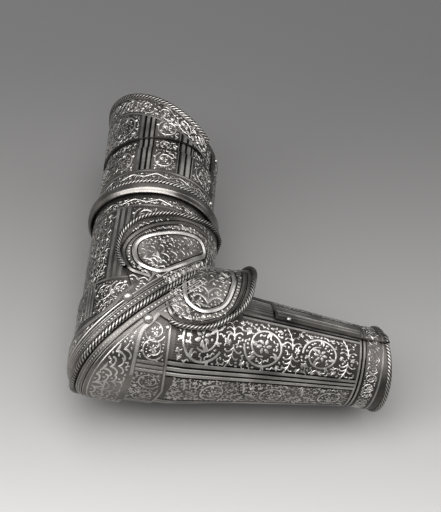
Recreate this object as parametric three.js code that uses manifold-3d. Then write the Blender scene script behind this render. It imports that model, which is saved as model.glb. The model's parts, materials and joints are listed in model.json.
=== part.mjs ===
// Etched steel arm defence for a right arm: two cannons, an elbow plate between two lames,
// and a turning upper tube. Millimetres, +Z up, lying on its inner side.
import * as THREE from 'three';
import { mergeVertices } from 'three/addons/utils/BufferGeometryUtils.js';
import Module from 'manifold-3d';

const wasm = await Module();
wasm.setup();

// Driving sizes of the whole arm, measured from the point where the two tube axes cross.
const elbowAngle = 85;
const plateWall = 1.4;
const plateGap = 0.9;
const looseGap = 0.35;
const ropeRadius = 2.3;
const cutOverrun = 6;

// Forearm cannon: a tapering tube that ends in a roped wrist edge.
const wristEnd = 236;
const wristSlant = 6;
const wristRadius = 39.6;
const wristStraight = 212;
const forearmRadius = 59;
const forearmStraight = 34;
const forearmFrontEdge = 78;
const forearmBackEdge = 3;
const doorStart = 118;
const doorLap = 6;
const doorSwing = 2.2;
const doorStudAt = 132;

// Upper cannon: a nearly straight tube whose end flange turns inside the collar above it.
const upperInset = 0.2;
const upperRadius = forearmRadius - upperInset;
const upperEnd = 134;
const upperFrontEdge = 74;
const upperBackEdge = 6;
const flangeRise = 2.6;
const flangeRadius = upperRadius + flangeRise;
const flangeWidth = 2.4;

// Turning tube with its hollow collar, and the two lames above it.
const collarStart = 124;
const collarRoom = 3.6;
const collarRadius = flangeRadius + collarRoom;
const collarWidth = 15;
const turnerInset = 1;
const turnerRadius = upperRadius - turnerInset;
const turnerTop = 187;
const turnerFrontTop = 216;
const seamTurn = 37;
const lameShow = 13;
const lameOverlap = 8;
const secondTop = 222;
const secondOpen = 22;
const topBack = 274;
const topFront = 223;
const topOpen = 49;
const lameSlack = 0.8;

// Elbow: the couter clears the tubes, and its pivots lie in the plane that halves the elbow, at
// shares of its radius out from and across it.
const couterRoom = 4.8;
const couterRadius = forearmRadius + couterRoom;
const pivotShares = { outer: [-0.149, 0.47], inner: [-0.337, 0.227] };
const [outerPivotOut, outerPivotAcross] = pivotShares.outer.map((share) => share * couterRadius);
const [innerPivotOut, innerPivotAcross] = pivotShares.inner.map((share) => share * couterRadius);
const elbowRounding = 21;
const bendRise = 9;
const bendFlare = 6;
const sideFlatness = 2.3;
const ridgeRadius = 2.2;
const lameTuck = 3.2;
const lameLap = 15;

// Rivets and hinges.
const couterRivetHead = 3.7;
const smallRivetHead = 2.1;
const shankShare = 0.5;
const pivotLean = 24;
const hingeLength = 16;
const hingeKnuckle = 2.1;
const hingePinRadius = 0.9;
const hingeAt = [140, 198];
const leafTurns = [3.6, 12.6];
const bridgeTurns = [1.9, 4.2];

const steel = { dark: 0x4c4946, mid: 0x6a6662, bright: 0x9b9792 };
const metal = (color, roughness) =>
  new THREE.MeshStandardMaterial({ color, roughness, metalness: 1 });
const rad = THREE.MathUtils.degToRad;
const rivetSides = 8;

// The forearm axis is +X before the arm is laid down, and the side shown is +Z.
const foreDir = new THREE.Vector3(1, 0, 0);
const upperDir = new THREE.Vector3(Math.cos(rad(elbowAngle)), Math.sin(rad(elbowAngle)), 0);
const sideDir = new THREE.Vector3(0, 0, 1);
const outDir = foreDir.clone().add(upperDir).normalize();
const acrossDir = upperDir.clone().sub(foreDir).normalize();
const foreFront = new THREE.Vector3().crossVectors(sideDir, foreDir);
const upperFront = new THREE.Vector3().crossVectors(upperDir, sideDir);
const forearm = { dir: foreDir, front: foreFront };
const upperArm = { dir: upperDir, front: upperFront };

// A point at a distance along an arm's axis and a radius round it; turn 0 is the inner bend
// side, 90 the side shown, 180 the back.
function onArm(arm, along, turn, radius) {
  const t = rad(turn);
  return arm.dir.clone().multiplyScalar(along)
    .addScaledVector(arm.front, radius * Math.cos(t))
    .addScaledVector(sideDir, radius * Math.sin(t));
}

// The elbow end of every tube is a little flat on its sides.
function flatSided(turn, amount) {
  const power = THREE.MathUtils.lerp(2, sideFlatness, amount);
  const t = rad(turn);
  return Math.pow(Math.abs(Math.cos(t)) ** power + Math.abs(Math.sin(t)) ** power, -1 / power);
}

const smooth = (x, low, high) => THREE.MathUtils.smoothstep(x, low, high);

function foreRadius(along, turn) {
  const share = THREE.MathUtils.clamp((along - forearmStraight) /
    (wristStraight - forearmStraight), 0, 1);
  const taper = THREE.MathUtils.lerp(forearmRadius, wristRadius, share);
  return taper * flatSided(turn, 1 - smooth(along, forearmStraight, wristEnd / 2));
}

function upperTubeRadius(along, turn) {
  return upperRadius * flatSided(turn, 1 - smooth(along, forearmStraight, upperEnd));
}

// A value that eases through rows of [turn, value], the same on both sides of the arm.
function profile(rows) {
  const curve = new THREE.CatmullRomCurve3(rows.map(([t, v]) => new THREE.Vector3(t, v, 0)),
    false, 'catmullrom', 0.4);
  const points = curve.getPoints(rows.length * 12);
  return (turn) => {
    const t = Math.min(Math.abs(((turn + 180) % 360 + 360) % 360 - 180), 180);
    let i = 1;
    while (i < points.length - 1 && points[i].x < t) i += 1;
    const low = points[i - 1];
    const high = points[i];
    const share = THREE.MathUtils.clamp((t - low.x) / Math.max(high.x - low.x, 1e-6), 0, 1);
    return THREE.MathUtils.lerp(low.y, high.y, share);
  };
}

function steps(from, to, count) {
  return Array.from({ length: count + 1 }, (_, i) => from + ((to - from) * i) / count);
}

// A closed plate: an outer face given by turns and shares of its length, and an inner face one
// wall inside it. A plate that goes all the way round is a ring.
function plate(outer, wall, turns, shares) {
  const ring = Math.abs(turns[turns.length - 1] - turns[0]) > 359.9;
  const columns = ring ? turns.slice(0, -1) : turns;
  const rows = shares.length;
  const positions = [];
  const faces = [];
  const tiny = 0.01;
  const insideOf = (turn, share) => {
    const a = outer(turn + tiny * 10, share).sub(outer(turn - tiny * 10, share));
    const low = Math.max(share - tiny, 0);
    const high = Math.min(share + tiny, 1);
    const b = outer(turn, high).sub(outer(turn, low));
    return new THREE.Vector3().crossVectors(b, a).normalize();
  };
  const middle = new THREE.Vector3();
  for (const turn of columns) for (const share of shares) middle.add(outer(turn, share));
  middle.divideScalar(columns.length * rows);
  const centre = (shares[0] + shares[rows - 1]) / 2;
  const inward = columns.reduce((sum, turn) => sum + insideOf(turn, centre)
    .dot(middle.clone().sub(outer(turn, centre))), 0) > 0 ? 1 : -1;
  for (const layer of [0, 1]) {
    for (const turn of columns) {
      for (const share of shares) {
        const point = outer(turn, share);
        if (layer) point.addScaledVector(insideOf(turn, share), wall * inward);
        positions.push(point.x, point.y, point.z);
      }
    }
  }
  const layerSize = columns.length * rows;
  const at = (layer, i, j) => layer * layerSize + (i % columns.length) * rows + j;
  const quad = (a, b, c, d) => faces.push(a, b, c, a, c, d);
  const spans = ring ? columns.length : columns.length - 1;
  for (let i = 0; i < spans; i += 1) {
    for (let j = 0; j < rows - 1; j += 1) {
      quad(at(0, i, j), at(0, i, j + 1), at(0, i + 1, j + 1), at(0, i + 1, j));
      quad(at(1, i, j), at(1, i + 1, j), at(1, i + 1, j + 1), at(1, i, j + 1));
    }
    quad(at(0, i, 0), at(0, i + 1, 0), at(1, i + 1, 0), at(1, i, 0));
    quad(at(0, i + 1, rows - 1), at(0, i, rows - 1), at(1, i, rows - 1), at(1, i + 1, rows - 1));
  }
  if (!ring) {
    const last = columns.length - 1;
    for (let j = 0; j < rows - 1; j += 1) {
      quad(at(0, 0, j + 1), at(0, 0, j), at(1, 0, j), at(1, 0, j + 1));
      quad(at(0, last, j), at(0, last, j + 1), at(1, last, j + 1), at(1, last, j));
    }
  }
  const geometry = new THREE.BufferGeometry();
  geometry.setAttribute('position', new THREE.Float32BufferAttribute(positions, 3));
  geometry.setIndex(faces);
  return outward(geometry);
}
// Turns a closed geometry so that its faces point out.
function outward(shape) {
  const bare = shape.clone();
  bare.deleteAttribute('normal');
  bare.deleteAttribute('uv');
  const geometry = mergeVertices(bare, 1e-4);
  const p = geometry.attributes.position;
  const index = geometry.index.array;
  let volume = 0;
  const corner = [0, 1, 2].map(() => new THREE.Vector3());
  for (let i = 0; i < index.length; i += 3) {
    corner.forEach((c, k) => c.fromBufferAttribute(p, index[i + k]));
    volume += corner[0].dot(corner[1].clone().cross(corner[2]));
  }
  if (volume < 0) {
    for (let i = 0; i < index.length; i += 3) {
      [index[i + 1], index[i + 2]] = [index[i + 2], index[i + 1]];
    }
  }
  return geometry;
}

function solid(geometry) {
  const merged = outward(geometry);
  return new wasm.Manifold(new wasm.Mesh({
    numProp: 3,
    vertProperties: merged.attributes.position.array,
    triVerts: new Uint32Array(merged.index.array),
  }));
}

function shapeOf(made) {
  const mesh = made.getMesh();
  const geometry = new THREE.BufferGeometry();
  geometry.setAttribute('position', new THREE.BufferAttribute(mesh.vertProperties, 3));
  geometry.setIndex(new THREE.BufferAttribute(mesh.triVerts, 1));
  return geometry;
}

const cut = (body, ...tools) => shapeOf(tools.reduce((left, tool) => left.subtract(solid(tool)),
  solid(body)));
const joined = (...bodies) => shapeOf(bodies.slice(1).reduce((left, body) => left.add(solid(body)),
  solid(bodies[0])));

// Stands a shape made along +Y at a place, with +Y turned to a direction.
function stand(geometry, place, direction) {
  const turn = new THREE.Quaternion().setFromUnitVectors(new THREE.Vector3(0, 1, 0),
    direction.clone().normalize());
  return outward(geometry.applyQuaternion(turn).translate(place.x, place.y, place.z));
}

const arm = new THREE.Group();
function piece(name, geometry, tone = steel.mid, roughness = 0.42) {
  const mesh = new THREE.Mesh(geometry, metal(tone, roughness));
  mesh.name = name;
  arm.add(mesh);
  return mesh;
}

// A rivet: a domed head outside, a shank through the plates, and a smaller burred end inside.
function rivet(place, direction, head, grip) {
  const shank = head * shankShare;
  const burr = head * 0.8;
  const rise = head * 0.72;
  const outline = [new THREE.Vector2(0, rise)];
  for (const t of [50, 90]) {
    outline.push(new THREE.Vector2(head * Math.sin(rad(t)), rise * Math.cos(rad(t))));
  }
  outline.push(new THREE.Vector2(shank, 0), new THREE.Vector2(shank, -grip));
  outline.push(new THREE.Vector2(burr, -grip), new THREE.Vector2(burr * 0.7, -grip - head * 0.3));
  outline.push(new THREE.Vector2(0, -grip - head * 0.35));
  return stand(new THREE.LatheGeometry(outline, rivetSides), place, direction);
}

function hole(place, direction, radius, reach) {
  return stand(new THREE.CylinderGeometry(radius, radius, reach * 2, rivetSides), place, direction);
}

// Elbow pivots, the same on both sides of the arm.
function pivot(out, across) {
  return outDir.clone().multiplyScalar(out).addScaledVector(acrossDir, across);
}
const pivots = {
  lowerOuter: pivot(outerPivotOut, -outerPivotAcross),
  lowerInner: pivot(innerPivotOut, -innerPivotAcross),
  upperInner: pivot(innerPivotOut, innerPivotAcross),
  upperOuter: pivot(outerPivotOut, outerPivotAcross),
};

const pivotLimb = { lowerOuter: forearm, lowerInner: forearm, upperInner: upperArm,
  upperOuter: upperArm };
const couterSection = (along, turn) => couterRadius * flatSided(turn, 1);
const lameSection = (tube) => (along, turn) => tube(along, turn) + plateWall + plateGap;
const faceRadius = { lowerOuter: lameSection(foreRadius), lowerInner: couterSection,
  upperInner: couterSection, upperOuter: lameSection(upperTubeRadius) };

// Distance from the middle plane to a tube's face over a point of the arm's plane.
function sideHeight(limb, radiusAt, spot) {
  const along = spot.dot(limb.dir);
  const forward = spot.dot(limb.front);
  let turn = 90;
  for (let i = 0; i < 20; i += 1) {
    turn = THREE.MathUtils.radToDeg(Math.acos(THREE.MathUtils.clamp(
      forward / radiusAt(along, turn), -1, 1)));
  }
  return radiusAt(along, turn) * Math.sin(rad(turn));
}

// Edge bead: a half round that stands out of a plate along one end.
function bead(distance, radius) {
  return distance < radius * 2
    ? Math.sqrt(Math.max(radius ** 2 - (distance - radius) ** 2, 0)) : 0;
}

const around = (from, to, count) => steps(from, to, count);

// Shares along a plate that crowd towards a beaded end.
function beadedShares(length, radius, count) {
  const near = [0, 0.3, 1, 1.7, 2].map((k) => (k * radius) / length);
  return [...steps(0, 1 - 2.6 * radius / length, count), ...near.reverse().map((k) => 1 - k)];
}

// Forearm cannon, cut away at the inner bend and along the door.
const edgeOf = (front, back) => profile([[0, front], [45, front * 0.8], [80, front * 0.34],
  [100, back + front * 0.08], [114, back], [180, back]]);
const foreEdge = edgeOf(forearmFrontEdge, forearmBackEdge);
const doorFrom = -62;
const doorTo = 80;

// The wrist edge is cut a little aslant, longer at the back.
const wristCut = (turn) => wristEnd - wristSlant * Math.cos(rad(turn));
function wristBead(along, turn) {
  return bead(wristCut(turn) - along, ropeRadius);
}
// Along a plate that ends at the wrist: the slant comes in by degrees up to the straight end, and
// the bead's rows keep their distance from the edge.
function toWrist(start, turn, share) {
  const low = THREE.MathUtils.lerp(start, wristEnd, share);
  const slanted = THREE.MathUtils.clamp((low - start) / (wristStraight - start), 0, 1);
  return low + (wristCut(turn) - wristEnd) * slanted;
}

function foreFace(from, to, lift = 0) {
  return (turn, share) => {
    const start = typeof from === 'function' ? from(turn) : from;
    const along = to === wristEnd ? toWrist(start, turn, share)
      : THREE.MathUtils.lerp(start, to, share);
    return onArm(forearm, along, turn, foreRadius(along, turn) + wristBead(along, turn) + lift);
  };
}

const sleeveShares = steps(0, 1, 3);
const wristShare = (wristStraight - doorStart) / (wristEnd - doorStart);
const halfShares = [0, wristShare * 0.5, wristShare,
  ...beadedShares(wristEnd - doorStart, ropeRadius, 1).slice(1)];
const sleeve = plate(foreFace(foreEdge, doorStart), plateWall, around(-180, 180, 32), sleeveShares);
const trough = plate(foreFace(doorStart - plateGap / 3, wristEnd), plateWall,
  around(doorTo, 360 + doorFrom, 22), halfShares);

const pivotDir = (side) => sideDir.clone().multiplyScalar(side * Math.cos(rad(pivotLean)))
  .addScaledVector(outDir, -Math.sin(rad(pivotLean)));
const onSide = (name, side, height) => pivots[name].clone().addScaledVector(sideDir, side * height);
const pivotHoles = (names, radius) => names.flatMap((name) => [1, -1].map((side) =>
  hole(onSide(name, side, sideHeight(pivotLimb[name], faceRadius[name], pivots[name])),
    pivotDir(side), radius, cutOverrun)));
const pivotBore = couterRivetHead * shankShare + looseGap;
const smallBore = smallRivetHead * shankShare + looseGap;

function studPlace(lift) {
  const along = doorStudAt;
  const turn = doorTo + doorLap * 0.5;
  return onArm(forearm, along, turn, foreRadius(along, turn) + lift);
}
const studDir = onArm(forearm, 0, doorTo + doorLap * 0.5, 1);

const cannonOuter = cut(joined(sleeve, trough), ...pivotHoles(['lowerOuter'], smallBore),
  hole(studPlace(0), studDir, smallBore, cutOverrun));
piece('lower_cannon_outer', cannonOuter);

// Door on the inner bend side, lapping over the cannon's edge.
const doorLift = plateWall + looseGap * 4;
function doorFace(turn, share) {
  const along = toWrist(doorStart + looseGap * 2, turn, share);
  const lap = smooth(turn, doorTo - doorLap * 2.2, doorTo - doorLap * 0.4);
  return onArm(forearm, along, turn, foreRadius(along, turn) + wristBead(along, turn) +
    doorLift * lap);
}
const doorTurns = [...around(doorFrom + doorSwing, doorTo - doorLap * 2.2, 16),
  ...around(doorTo - doorLap * 1.75, doorTo + doorLap, 6)];
piece('lower_cannon_door', cut(plate(doorFace, plateWall, doorTurns, halfShares),
  hole(studPlace(0), studDir, smallRivetHead + looseGap, cutOverrun)));
piece('door_stud', rivet(studPlace(doorLift + looseGap), studDir, smallRivetHead,
  doorLift + looseGap + plateWall + looseGap), steel.bright, 0.3);

// Door hinges on the side that lies down: leaves, knuckles and pins.
const hingeTurn = doorFrom;
function hingeSpot(along) {
  return onArm(forearm, along, hingeTurn, foreRadius(along, hingeTurn) + hingeKnuckle + looseGap);
}
const hingeAxis = hingeSpot(hingeAt[1]).sub(hingeSpot(hingeAt[0])).normalize();
const pinLength = hingeLength + looseGap * 4;

function hingePlate(along, side, from, to, turns) {
  return plate((turn, share) => {
    const at = THREE.MathUtils.lerp(along + from, along + to, share);
    return onArm(forearm, at, turn, foreRadius(at, turn) + looseGap + plateWall);
  }, plateWall, turns.map((turn) => hingeTurn + side * turn), [0, 1]);
}

function knuckle(along, from, to) {
  const length = to - from;
  const spot = hingeSpot(along).addScaledVector(hingeAxis, (from + to) / 2);
  const outline = [new THREE.Vector2(hingePinRadius + looseGap, -length / 2),
    new THREE.Vector2(hingeKnuckle, -length / 2), new THREE.Vector2(hingeKnuckle, length / 2),
    new THREE.Vector2(hingePinRadius + looseGap, length / 2)];
  outline.push(outline[0].clone());
  return stand(new THREE.LatheGeometry(outline, rivetSides), spot, hingeAxis);
}

function hingeHalf(along, side) {
  const third = hingeLength / 3;
  const leaf = hingePlate(along, side, -hingeLength / 2, hingeLength / 2, around(...leafTurns, 3));
  const runs = side > 0 ? [[-third / 2, third / 2]]
    : [[-hingeLength / 2, -third / 2 - looseGap], [third / 2 + looseGap, hingeLength / 2]];
  const parts = runs.flatMap(([from, to]) => [knuckle(along, from, to),
    hingePlate(along, side, from, to, around(...bridgeTurns, 2))]);
  return joined(leaf, ...parts);
}
hingeAt.forEach((along, i) => {
  const which = ['elbow', 'wrist'][i];
  piece(`${which}_hinge_fixed_leaf`, hingeHalf(along, -1), steel.dark);
  piece(`${which}_hinge_moving_leaf`, hingeHalf(along, 1), steel.dark);
  piece(`${which}_hinge_pin`, stand(new THREE.CylinderGeometry(hingePinRadius, hingePinRadius,
    pinLength, 8), hingeSpot(along), hingeAxis), steel.bright, 0.3);
});

// Elbow lames: bands between a cannon and the couter.
function bandFace(limb, radiusAt, lift, hidden, shown) {
  return (turn, share) => {
    const along = THREE.MathUtils.lerp(hidden(turn), shown(turn), share);
    const tuck = lameTuck * smooth(hidden(turn) + lameLap - along, 0, lameLap) *
      Math.max(0, -Math.cos(rad(turn)));
    return onArm(limb, along, turn, radiusAt(along, turn) + lift - tuck);
  };
}
const lameTurns = around(102, 258, 20);
const lameShares = [0, 0.33, 0.67, 1];
const lameEnd = (shares) => profile(shares.map(([turn, share]) => [turn, share * couterRadius]));
const lowerShown = lameEnd([[100, 0.25], [118, 0.26], [150, 0.29], [180, 0.36]]);
const lowerHidden = lameEnd([[100, -0.19], [118, -0.25], [135, -0.38], [180, -0.41]]);
const upperShown = lameEnd([[100, 0.31], [118, 0.33], [180, 0.35]]);
const upperHidden = lameEnd([[100, -0.19], [118, -0.25], [140, -0.53], [180, -0.69]]);
const lameLift = plateWall + plateGap;
piece('lower_lame', cut(plate(bandFace(forearm, foreRadius, lameLift, lowerHidden, lowerShown),
  plateWall, lameTurns, lameShares), ...pivotHoles(['lowerOuter'], smallBore),
...pivotHoles(['lowerInner'], pivotBore)));
piece('upper_lame', cut(plate(bandFace(upperArm, upperTubeRadius, lameLift, upperHidden,
  upperShown), plateWall, lameTurns, lameShares), ...pivotHoles(['upperOuter'], smallBore),
...pivotHoles(['upperInner'], pivotBore)));

// Couter: one plate that closes round the elbow, with a lobe along each arm. Its rims are drawn
// in the arm's plane: shares of the couter's radius along an arm and forward of its axis.
const lowerRimShares = [[1.442, 1.317], [1.505, 1.034], [1.52, 0.752], [1.458, 0.439], [1.395,
  0.188], [1.238, -0.078], [0.956, -0.313], [0.721, -0.408], [0.392, -0.423], [0.219, -0.376]];
const lowerCuspShares = [[0.078, -0.306], [-0.031, -0.455], [-0.149, -0.596], [-0.172, -0.878],
  [-0.141, -1.129]];
const upperRimShares = [[1.834, 1.176], [1.724, 0.784], [1.622, 0.439], [1.583, 0.157], [1.489,
  -0.157], [1.348, -0.408], [1.113, -0.58], [0.846, -0.619], [0.658, -0.588], [0.439, -0.486]];
const upperCuspShares = [[0.133, -0.368], [-0.063, -0.525], [-0.212, -0.619], [-0.408, -0.846],
  [-0.486, -1.129]];
const halfAngle = rad(elbowAngle / 2);
const elbowTip = -couterRadius * 2;
const couterReach = 122;

function couterFace(limb, swell, rise, flare) {
  return (turn, share) => {
    const lean = Math.cos(rad(turn));
    const lift = Math.max(0, lean) ** 1.5;
    const plain = couterRadius * flatSided(turn, 1) * lean;
    const raised = plain + rise * lift * lean;
    const mitre = (plain + raised * Math.cos(rad(elbowAngle))) / Math.sin(rad(elbowAngle));
    const along = THREE.MathUtils.lerp(mitre, couterReach, share);
    const grown = smooth(along - mitre, 0, couterRadius);
    const radiusHere = (couterRadius + swell * grown) * flatSided(turn, 1) +
      (rise + flare * grown) * lift;
    const point = onArm(limb, along, turn, radiusHere);
    const off = Math.abs(point.dot(acrossDir));
    const width = elbowRounding * Math.max(0, -lean) ** 0.8 + looseGap;
    const rounded = off >= width ? off : (off * off + width * width) / (2 * width);
    if (lean < 0) point.addScaledVector(outDir, (rounded - off) / Math.tan(halfAngle));
    const away = point.clone().addScaledVector(outDir, -innerPivotOut).normalize();
    return point.addScaledVector(away, bead(off + ridgeRadius, ridgeRadius));
  };
}
const couterTurns = around(0, 360, 36);
const couterShares = [0, 0.008, 0.018, 0.07, 0.15, 0.26, 0.42, 0.66, 1];

function rimPoints(limb, rim) {
  return rim.map(([along, forward]) => limb.dir.clone().multiplyScalar(along * couterRadius)
    .addScaledVector(limb.front, forward * couterRadius));
}
function rimCurve(limb, rim) {
  return new THREE.CatmullRomCurve3(rimPoints(limb, rim), false, 'centripetal');
}
const rims = [[forearm, lowerRimShares], [forearm, lowerCuspShares], [upperArm, upperCuspShares],
  [upperArm, upperRimShares]];
const sides = rims.map(([limb, rim], i) => {
  const points = rimCurve(limb, rim).getPoints(rim.length * 2);
  return i === 2 ? [outDir.clone().multiplyScalar(elbowTip), ...points.reverse()]
    : i === 3 ? points.reverse() : points;
});
const trim = new THREE.ExtrudeGeometry(new THREE.Shape(
  sides.flat().map((point) => new THREE.Vector2(point.x, point.y))),
{ depth: couterRadius * 3, bevelEnabled: false }).translate(0, 0, -couterRadius * 1.5);

// A bead that follows a lobe's rim over the plate, from one side of the arm to the other.
function rimBead(limb, rim, swell, rise) {
  const radiusAt = (turn) => (couterRadius + swell) * flatSided(turn, 1) +
    rise * Math.max(0, Math.cos(rad(turn))) ** 1.5;
  const flat = rimCurve(limb, rim).getPoints(160).filter((point) =>
    point.dot(limb.front) < radiusAt(0) * 0.995);
  const over = flat.map((point) => {
    const forward = point.dot(limb.front);
    const along = point.dot(limb.dir);
    let turn = 90;
    for (let i = 0; i < 40; i += 1) {
      turn = (turn + THREE.MathUtils.radToDeg(Math.acos(THREE.MathUtils.clamp(
        forward / radiusAt(turn), -1, 1)))) / 2;
    }
    return onArm(limb, along, turn, radiusAt(turn) + looseGap);
  });
  const mirrored = over.slice().reverse().map((point) => point.clone().setZ(-point.z));
  const path = new THREE.CatmullRomCurve3([...mirrored, ...over], false, 'centripetal');
  const round = new THREE.Shape(Array.from({ length: 6 }, (_, i) => new THREE.Vector2(
    ropeRadius * Math.cos(rad(i * 60)), ropeRadius * Math.sin(rad(i * 60)))));
  return outward(new THREE.ExtrudeGeometry(round, { steps: 48, bevelEnabled: false,
    curveSegments: 1, extrudePath: path }));
}
const lowerSwell = 0.6;
const upperSwell = 0.2;
const couterShell = solid(plate(couterFace(forearm, lowerSwell, bendRise, bendFlare), plateWall,
  couterTurns, couterShares)).add(solid(plate(couterFace(upperArm, upperSwell, 0, 0), plateWall,
  couterTurns, couterShares)));
const couterPlate = couterShell.intersect(solid(outward(trim)));
const couterWhole = couterPlate
  .add(solid(rimBead(forearm, lowerRimShares, lowerSwell, bendRise + bendFlare)))
  .add(solid(rimBead(upperArm, upperRimShares, upperSwell, 0)));
piece('couter', cut(shapeOf(couterWhole), ...pivotHoles(['lowerInner', 'upperInner'], pivotBore)));

// Pivot rivets, one on the side shown and one on the side that lies down.
function pivotPair(title, name, head, grip) {
  for (const side of [1, -1]) {
    const height = sideHeight(pivotLimb[name], faceRadius[name], pivots[name]);
    const seat = onSide(name, side, height).addScaledVector(pivotDir(side),
      looseGap + head * seatShare);
    piece(`${title}_${side > 0 ? 'outer' : 'inner'}`, rivet(seat, pivotDir(side), head, grip),
      steel.bright, 0.3);
  }
}
const seatShare = 0.2;
const stack = plateWall * 2 + plateGap + looseGap * 7;
pivotPair('couter_lower_rivet', 'lowerInner', couterRivetHead, stack + looseGap * 4);
pivotPair('couter_upper_rivet', 'upperInner', couterRivetHead, stack + looseGap * 4);
pivotPair('lower_lame_rivet', 'lowerOuter', smallRivetHead, stack);
pivotPair('upper_lame_rivet', 'upperOuter', smallRivetHead, stack);

// Upper cannon with the out-turned flange that the collar turns on.
const upperEdge = edgeOf(upperFrontEdge, upperBackEdge);
function upperFace(turn, share) {
  const along = THREE.MathUtils.lerp(upperEdge(turn), upperEnd, share);
  const flange = (flangeRadius - upperRadius) * smooth(along, upperEnd - flangeWidth * 2,
    upperEnd - flangeWidth);
  return onArm(upperArm, along, turn, upperTubeRadius(along, turn) + flange);
}
piece('upper_cannon', cut(plate(upperFace, plateWall, around(-180, 180, 32),
  [...steps(0, 0.93, 3), 0.96, 1]), ...pivotHoles(['upperOuter'], smallBore)));

// Turning tube: an outer and an inner plate, riveted at their laps, with a hollow collar.
const collarEnd = collarStart + collarWidth;
const collarLip = upperRadius + plateWall + looseGap * 2;
function turnerRadiusAt(along) {
  const rise = smooth(along, collarStart, collarStart + collarWidth * 0.3);
  const fall = smooth(along, collarEnd - collarWidth * 0.35, collarEnd);
  const swell = THREE.MathUtils.lerp(collarLip + plateWall, collarRadius, rise);
  return THREE.MathUtils.lerp(swell, turnerRadius, fall) + bead(along - collarEnd, ropeRadius);
}
const turnerShares = [0, 0.07, 0.15, 0.19, 0.238, 0.25, 0.275, 0.3, 0.31, 1];
function turnerFace(top) {
  return (turn, share) => {
    const low = THREE.MathUtils.lerp(collarStart, turnerTop, share);
    const along = low > collarEnd + ropeRadius * 3
      ? THREE.MathUtils.mapLinear(low, collarEnd + ropeRadius * 3, turnerTop,
        collarEnd + ropeRadius * 3, top) : low;
    return onArm(upperArm, along, turn, turnerRadiusAt(along));
  };
}
const seamGap = THREE.MathUtils.radToDeg(looseGap / turnerRadius);

// The lames above, open at the front, each over or under the next one.
function topEdge(turn) {
  return THREE.MathUtils.lerp(topBack, topFront,
    (1 + Math.cos(rad(turn))) / (1 + Math.cos(rad(topOpen))));
}
function lameFace(from, to, radius, rope) {
  const longest = topBack - topStart;
  const bend = 1 - (2.6 * ropeRadius) / longest;
  return (turn, share) => {
    const end = to(turn);
    const along = share > bend ? end - (1 - share) * longest
      : THREE.MathUtils.lerp(from, end - (1 - bend) * longest, share / bend);
    return onArm(upperArm, along, turn, radius + rope * bead(end - along, ropeRadius));
  };
}
const topStart = turnerTop + lameShow;
const innerLameRadius = turnerRadius - plateWall - lameSlack;
const secondEdge = profile([[0, secondTop], [70, secondTop], [95, turnerTop + lameShow +
  lameOverlap], [180, turnerTop + lameShow + lameOverlap]]);
const secondSpot = { along: turnerFrontTop - smallRivetHead * 2, turn: 29.5 };
const topSpot = { along: topStart + lameOverlap, turn: 64 };

function onTube(spot, side, radius) {
  return onArm(upperArm, spot.along, spot.turn * side, radius);
}
function radial(turn) {
  return onArm(upperArm, 0, turn, 1);
}
const tubeHoles = (...spots) => spots.flatMap((spot) => [1, -1].map((side) =>
  hole(onTube(spot, side, turnerRadius), radial(spot.turn * side), smallBore, cutOverrun)));

const seamSpots = [{ along: collarEnd + lameShow, turn: seamTurn - 4 },
  { along: turnerTop - lameShow, turn: seamTurn + 4 }];
const stripFace = (turn, share) => onArm(upperArm, THREE.MathUtils.lerp(
  collarEnd + ropeRadius * 3, turnerTop - lameOverlap - looseGap * 4, share), turn,
turnerRadius - plateWall - looseGap);
for (const side of [1, -1]) {
  const name = side > 0 ? 'outer' : 'inner';
  piece(`turner_${name}_seam_strip`, cut(plate(stripFace, plateWall,
    around(side * seamTurn - lameOverlap, side * seamTurn + lameOverlap, 5), [0, 1]),
  ...tubeHoles(...seamSpots)), steel.dark);
  seamSpots.forEach((spot, i) => piece(`turner_${name}_seam_rivet_${i + 1}`, rivet(
    onTube(spot, side, turnerRadius + looseGap), radial(spot.turn * side), smallRivetHead,
    plateWall * 2 + looseGap * 3), steel.bright, 0.3));
}
piece('turner_outer_plate', cut(plate(turnerFace(turnerTop), plateWall,
  around(seamTurn + seamGap, 360 - seamTurn - seamGap, 28), turnerShares),
...tubeHoles(seamSpots[1])));
piece('turner_inner_plate', cut(plate(turnerFace(turnerFrontTop), plateWall,
  around(-seamTurn, seamTurn, 8), turnerShares), ...tubeHoles(seamSpots[0], secondSpot)));
piece('second_lame', cut(plate(lameFace(turnerTop - lameOverlap, secondEdge, innerLameRadius, 0),
  plateWall, around(secondOpen, 360 - secondOpen, 32), [0, 1]),
...tubeHoles(secondSpot, topSpot)));
piece('top_lame', cut(plate(lameFace(topStart, topEdge, turnerRadius, 1), plateWall,
  around(topOpen, 360 - topOpen, 28), beadedShares(topBack - topStart, ropeRadius, 1)),
...tubeHoles(topSpot)));
for (const side of [1, -1]) {
  const name = side > 0 ? 'outer' : 'inner';
  const grip = plateWall * 2 + lameSlack + looseGap * 2;
  piece(`second_lame_rivet_${name}`, rivet(onTube(secondSpot, side, turnerRadius + looseGap),
    radial(secondSpot.turn * side), smallRivetHead, grip), steel.bright, 0.3);
  piece(`top_lame_rivet_${name}`, rivet(onTube(topSpot, side, turnerRadius + looseGap),
    radial(topSpot.turn * side), smallRivetHead, grip), steel.bright, 0.3);
}

// The arm lies on its inner side: on the collar, the rivets of the couter and the wrist edge.
const contacts = [
  onArm(upperArm, collarStart + collarWidth / 2, -90, collarRadius),
  sideDir.clone().multiplyScalar(-couterRadius - ridgeRadius),
  onArm(forearm, wristEnd - ropeRadius, -90, wristRadius + ropeRadius),
];
const floorUp = new THREE.Vector3().crossVectors(contacts[2].clone().sub(contacts[1]),
  contacts[0].clone().sub(contacts[1])).normalize();
arm.quaternion.setFromUnitVectors(floorUp, sideDir);
arm.updateMatrixWorld(true);
const reach = new THREE.Box3().setFromObject(arm, true);
const middle = reach.getCenter(new THREE.Vector3());
arm.position.set(-middle.x, -middle.y, -reach.min.z);

export default arm;
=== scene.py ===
import json
import math
import random

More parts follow.
